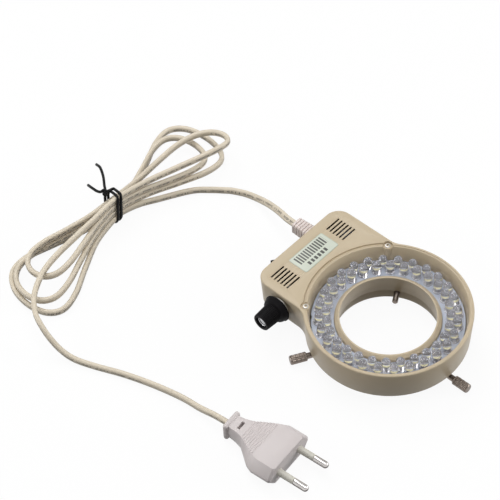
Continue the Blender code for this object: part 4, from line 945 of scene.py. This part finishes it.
# Painted shade: the white mask gets a blue-grey colour in place of the shade that falls in the ring.
shade_blue_mask = finish(
    "board_painted_shade", (0.50, 0.55, 0.66), 0.35,
    tones=((0.46, 0.52, 0.64), (0.55, 0.58, 0.66), 60.0, 4.0),
    gloss=(0.25, 0.2, 400.0), bumps=(0.2, 0.00004, 1500.0),
)
dressed(board, shade_blue_mask, "light", "led_board", "led_board")


# LEDs
# Fifty-six 5 mm LEDs of clear resin in two staggered rows of 28. The outer row leans in a little. In each
# one stand two flat legs, the wider with a bright cup that is filled with yellow phosphor.
LEDS_PER_ROW = 28
LED_RADIUS = 0.0025
LED_SHOULDER = 0.0061
FIRST_LED = math.radians(44.6)


def led_turns(reach, first, lean):
    turns = []
    for number in range(LEDS_PER_ROW):
        angle = first + math.tau * number / LEDS_PER_ROW
        spot = Matrix.Translation((*polar(reach, angle), BOARD_TOP))
        turns.append(spot @ Matrix.Rotation(angle, 4, "Z") @ turned(-lean, "Y"))
    return turns


def repeated(piece, turns, name):
    """Copies a piece to each place and joins the copies."""
    made = []
    for turn in turns:
        copy = piece.copy()
        copy.data = piece.data.copy()
        bpy.context.scene.collection.objects.link(copy)
        copy.matrix_world = turn
        made.append(copy)
    bpy.data.objects.remove(piece, do_unlink=True)
    return settled(joined(made, name))


turns = led_turns(0.0390, FIRST_LED, 7) + led_turns(0.0345, FIRST_LED - math.pi / LEDS_PER_ROW, 0)
lens_steps = [(0.0001, 1.14), (0.0009, 1.14), (0.0010, 1.0), (LED_SHOULDER, 1.0)]
lens_steps += domed(LED_SHOULDER, LED_RADIUS, (0.3, 0.6, 0.9, 1.2, 1.42))
lens = ringed("lens", circle(LED_RADIUS, 24), lens_steps)
smoothed(lens, 40)
lenses = repeated(lens, turns, "led_lenses")
resin = finish("clear_resin", (0.99, 0.98, 1.0), 0.04, specular=0.9, gloss=(0.01, 0.02, 500.0))
shader, _ = opened(resin)
shader.inputs["Transmission Weight"].default_value = 0.88
shader.inputs["IOR"].default_value = 1.5
dressed(lenses, resin, "light", "led_board")

leg = block((-0.0011, -0.00035, 0.0), (-0.0003, 0.00035, 0.0036))
anvil = block((0.0003, -0.00055, 0.0), (0.0013, 0.00055, 0.0024))
cup = ringed("cup", circle(0.0014, 14), [(0.0022, 0.55), (0.0033, 1.0), (0.00331, 0.9), (0.0028, 0.7)])
leads = repeated(joined([leg, anvil, cup]), turns, "led_leads")
tin = finish("tinned_lead", (0.70, 0.70, 0.73), 0.4, metallic=1.0, gloss=(0.34, 0.2, 900.0))
dressed(leads, tin, "light", "led_board")

drop = ringed("drop", circle(0.00128, 14), [(0.0029, 0.8), (0.0033, 1.0), (0.0036, 0.75), (0.0037, 0.3)])
drops = repeated(drop, turns, "led_phosphor")
phosphor = finish(
    "phosphor", (0.86, 0.82, 0.50), 0.6, tones=((0.83, 0.78, 0.42), (0.90, 0.87, 0.60), 900.0)
)
dressed(drops, phosphor, "light", "led_board")


# Driver board and what it carries
# Shut in the box and seen only through the vents: a green board with a yellow film capacitor, a sleeved
# electrolytic, a bridge rectifier and a resistor. The solids stay, each with its own finish.
for name, colour, roughness in (
    ("driver_board", (0.05, 0.22, 0.10), 0.45),
    ("film_capacitor", (0.65, 0.50, 0.08), 0.45),
    ("electrolytic_capacitor", (0.02, 0.03, 0.06), 0.35),
    ("bridge_rectifier", (0.02, 0.02, 0.02), 0.5),
    ("series_resistor", (0.30, 0.42, 0.55), 0.4),
):
    lighter = tuple(channel * 1.25 + 0.01 for channel in colour)
    coated(bpy.data.objects[name], finish(
        name + "_finish", colour, roughness, tones=(colour, lighter, 300.0), bumps=(0.3, 0.00008, 1200.0)
    ))


# Dimmer
# A potentiometer holds to the box's left wall with a washer and a hexagon nut. Its black knob has a wide
# skirt, fine ribs round a tapered grip and a spun silver disc let into its end.
outwards = Matrix.Translation((-0.03245, DIMMER_Y, DIMMER_Z)) @ turned(-90, "Y")
for name in ("potentiometer", "dimmer_shaft"):
    coated(bpy.data.objects[name], zinc)
for name, outline, low, high, rounding in (
    ("washer", circle(0.0064, 48), 0.0003, 0.0009, 0.00012),
    ("nut", circle(0.0055, 6), 0.0012, 0.0032, 0.0002),
):
    piece = extruded(outline, low, high, name)
    cut(piece, rod(0.004, -0.001, 0.005, 40))
    edged(piece, rounding)
    settled(piece, outwards)
    dressed(piece, zinc, "light", "screw_steel", "dimmer_" + name)


def pinched(piece, share, pitch, test):
    """Draws in the vertices that pass a test on their turn, in steps of a pitch in degrees, and height."""
    for vertex in piece.data.vertices:
        x, y, height = vertex.co
        if test(round(math.degrees(math.atan2(y, x)) / pitch), height):
            vertex.co = (x * share, y * share, height)


KNOB_START = 0.0021
KNOB_END = 0.0164
KNOB_SKIRT = KNOB_START + 0.0042
knob = ringed("knob", circle(0.0059, 144), [
    (KNOB_START, 1.40), (KNOB_START + 0.0003, 1.45), (KNOB_START + 0.0010, 1.45),
    (KNOB_START + 0.0012, 1.40), (KNOB_SKIRT - 0.0008, 1.27), (KNOB_SKIRT - 0.0003, 1.22),
    (KNOB_SKIRT, 1.12), (KNOB_SKIRT + 0.0001, 1.03), (KNOB_SKIRT + 0.0004, 1.0),
    (KNOB_END - 0.0008, 0.91), (KNOB_END - 0.0003, 0.895), (KNOB_END, 0.85),
])
pinched(knob, 0.945, 2.5, lambda turn, height: (
    turn % 4 == 0 and KNOB_SKIRT + 0.0003 < height < KNOB_END - 0.0005
))
pinched(knob, 0.975, 2.5, lambda turn, height: (
    turn % 3 == 0 and KNOB_START + 0.0001 < height < KNOB_START + 0.0011
))
cut(knob, rod(0.0038, KNOB_END - 0.0016, KNOB_END + 0.002, 60))
cut(knob, rod(0.0062, KNOB_START - 0.002, KNOB_START + 0.0018, 48))
smoothed(knob, 28)
settled(knob, outwards)
black = finish(
    "black_plastic", (0.008, 0.008, 0.009), 0.42, specular=0.08,
    tones=((0.004, 0.004, 0.0045), (0.008, 0.007, 0.008), 140.0),
    gloss=(0.34, 0.2, 500.0, 4.0), bumps=(0.3, 0.00005, 2800.0),
)
dressed(knob, black, "dimmer", "black_plastic", "dimmer_knob")

disc = ringed("knob_disc", circle(0.00375, 60), [
    (KNOB_END - 0.0017, 1.0), (KNOB_END - 0.0014, 1.0), (KNOB_END - 0.00132, 0.96),
    (KNOB_END - 0.00132, 0.80), (KNOB_END - 0.00142, 0.77), (KNOB_END - 0.00142, 0.05),
])
smoothed(disc, 30)
settled(disc, outwards)
spun = finish("spun_disc", (0.74, 0.74, 0.76), 0.25, metallic=1.0)
shader, place = opened(spun)
aside = axis(place, "Y") - DIMMER_Y
above = axis(place, "Z") - DIMMER_Z
rings = ((aside * aside + above * above).math("SQRT") * 26000.0).math("SINE")
feed(shader, "Roughness", 0.22 + rings * 0.06)
uneven(shader, rings, 0.3, 0.00002)
dressed(disc, spun, "dimmer", "silver_insert", "knob_insert")


# Rocker switch
# A small black switch clipped into the back wall. The ring lies with it switched one way, so the far end
# of the rocker stands out of the bezel.
SWITCH_FACE = 0.07108
ROCKER_RADIUS = 0.0063
bezel = block(
    (SWITCH_X - 0.0086, SWITCH_FACE, SWITCH_Z - 0.0062),
    (SWITCH_X + 0.0086, SWITCH_FACE + 0.0018, SWITCH_Z + 0.0062),
)
cut(bezel, block(
    (SWITCH_X - 0.0066, SWITCH_FACE - 0.004, SWITCH_Z - 0.0041),
    (SWITCH_X + 0.0066, SWITCH_FACE + 0.004, SWITCH_Z + 0.0041),
))
switch_case = block(
    (SWITCH_X - 0.0074, SWITCH_FACE - 0.0098, SWITCH_Z - 0.0049),
    (SWITCH_X + 0.0074, SWITCH_FACE - 0.0031, SWITCH_Z + 0.0049),
)
bezel = joined([bezel, switch_case], "switch_bezel")
edged(bezel, 0.0004, segments=3)
dressed(bezel, black, "light", "black_plastic", "switch_body")

low_edge = math.asin(-0.0013 / ROCKER_RADIUS)
profile = arc((0, 0), ROCKER_RADIUS, low_edge, math.radians(36), 8)
profile += [(0.003, 0.0027), (0, 0.0018), (-0.003, 0.0027)]
profile += arc((0, 0), ROCKER_RADIUS, math.radians(144), math.pi - low_edge, 8)
rocker = extruded(profile, -0.0039, 0.0039, "rocker")
edged(rocker, 0.0003, limit=40)
settled(rocker, Matrix.Translation((SWITCH_X, SWITCH_FACE, SWITCH_Z)) @ turned(-10, "Z"))
dressed(rocker, black, "rocker", "black_plastic", "switch_rocker")


# Cord gland
# A soft pinkish white strain relief moulded on the cord: a flange against the box's back wall, then seven
# flat ribs with narrow grooves before them, and a short taper down to the cord.
GLAND_START = 0.0706
GLAND_LENGTH = 0.0166
GLAND_RIBS = 7
FLANGE = 0.0018
SQUARENESS = 7.0


def soft_square(radius, vertices):
    points = []
    for step in range(vertices):
        angle = math.tau * (step + 0.5) / vertices
        spread = abs(math.cos(angle)) ** SQUARENESS + abs(math.sin(angle)) ** SQUARENESS
        points.append(polar(radius / spread ** (1 / SQUARENESS), angle))
    return points


gland_steps = [(-0.004, 0.66), (0.0001, 0.66), (0.0002, 1.08, 1.0), (FLANGE, 1.08, 1.0)]
for rib in range(GLAND_RIBS):
    size = 1.0 - 0.014 * rib
    low = FLANGE + rib * 0.0020
    gland_steps += [
        (low + 0.0001, size - 0.22), (low + 0.0005, size - 0.22), (low + 0.0006, size - 0.02),
        (low + 0.0008, size), (low + 0.0020, size),
    ]
gland_steps += [(0.0162, 0.76), (GLAND_LENGTH, 0.58)]
gland = ringed("gland", soft_square(0.0043, 64), gland_steps)
smoothed(gland, 35)
settled(gland, Matrix.Translation((GLAND_X, GLAND_START, GLAND_Z)) @ ALONG_Y)
soft_pink = finish(
    "gland_rubber", (0.80, 0.71, 0.67), 0.5,
    tones=((0.77, 0.68, 0.64), (0.83, 0.74, 0.71), 200.0), bumps=(0.25, 0.00005, 2200.0),
)
dressed(gland, soft_pink, "light", "gland_plastic", "cord_gland")


# Thumbscrews
# Three M3 screws with long knurled heads, turned from brass and plated, dull and a little brown. They go
# through the collar's wall and clamp the microscope's head.
plating = finish(
    "worn_plating", (0.25, 0.21, 0.185), 0.34, metallic=1.0,
    tones=((0.15, 0.12, 0.10), (0.35, 0.30, 0.265), 700.0, 4.0), gloss=(0.25, 0.25, 700.0, 4.0),
)
THREAD_START = 0.0240
THREAD_PITCH = 0.0005
HEAD_START = 0.0477
HEAD_END = 0.0575
KNURL_START = HEAD_START + 0.0005
KNURL_PITCH = 0.00042
KNURL_ROWS = 22
thumb_steps = [(0.0232, 0.40), (0.0238, 0.62)]
for ridge in range(28):
    low = THREAD_START + ridge * THREAD_PITCH
    thumb_steps += [(low, 0.62), (low + THREAD_PITCH / 2, 0.57)]
thumb_steps += [(0.0442, 0.62), (0.0443, 0.64), (HEAD_START, 0.64), (HEAD_START + 0.0001, 0.86)]
thumb_steps += [(KNURL_START + KNURL_PITCH * row, 1.0) for row in range(KNURL_ROWS)]
thumb_steps += [(HEAD_END, 0.86)]


def on_knurl(turn, height):
    row = round((height - KNURL_START) / KNURL_PITCH)
    return 1 <= row <= KNURL_ROWS - 2 and (turn % 3 == 0 or (turn - row) % 6 == 0)


for side, degrees in CLAMPS:
    thumb = ringed(f"thumbscrew_{side}_turned", circle(0.0027, 40), thumb_steps)
    pinched(thumb, 0.90, 9, on_knurl)
    smoothed(thumb, 20)
    settled(thumb, clamp_place(degrees))
    dressed(thumb, plating, f"{side}_thumbscrew", "thumbscrew_nickel", f"thumbscrew_{side}")


# Label
# A pale foil label with rounded corners on the box's top. It has no lettering: one block of even stripes
# and a row of short dashes stand in for print.
LABEL_X = 0.0028
LABEL_Y = 0.0574
LABEL_HALF_LENGTH = 0.0139
LABEL_HALF_WIDTH = 0.0068
LABEL_CORNER = 0.0012
label_outline = []
for quarter, (side, end) in enumerate(((1, 1), (-1, 1), (-1, -1), (1, -1))):
    corner = (side * (LABEL_HALF_LENGTH - LABEL_CORNER), end * (LABEL_HALF_WIDTH - LABEL_CORNER))
    start = quarter * math.pi / 2
    label_outline += arc(corner, LABEL_CORNER, start, start + math.pi / 2, 8)
label = extruded(label_outline, TOP + 0.00005, TOP + 0.0002, "foil_label")
settled(label, Matrix.Translation((LABEL_X, LABEL_Y, 0)))
edged(label, 0.00006)
foil = finish("label_foil", (0.68, 0.72, 0.62), 0.4, gloss=(0.34, 0.15, 300.0))
shader, place = opened(foil)
across = axis(place, "X") - LABEL_X
upward = axis(place, "Y") - LABEL_Y
near_x = across.math("ABSOLUTE")
stripes = ((across / 0.0019).math("FRACT") < 0.58) * (near_x < 0.0115)
stripes = stripes * (upward > -0.0008) * (upward < 0.0054)
dashes = ((across / 0.0027).math("FRACT") < 0.62) * (near_x < 0.0081)
dashes = dashes * (upward > -0.0047) * (upward < -0.0021)
printed = (stripes + dashes) > 0.5
border = ((near_x > 0.0134) + (upward.math("ABSOLUTE") > 0.00635)) > 0.5
paper = tinted(noise(place, 160.0), (0.60, 0.64, 0.54), (0.65, 0.69, 0.60))
inked = tinted(printed * 0.92, paper, (0.03, 0.028, 0.026))
feed(shader, "Base Color", tinted(border * 0.35, inked, (0.25, 0.30, 0.22)))
dressed(label, foil, "light", "label_foil", "label")
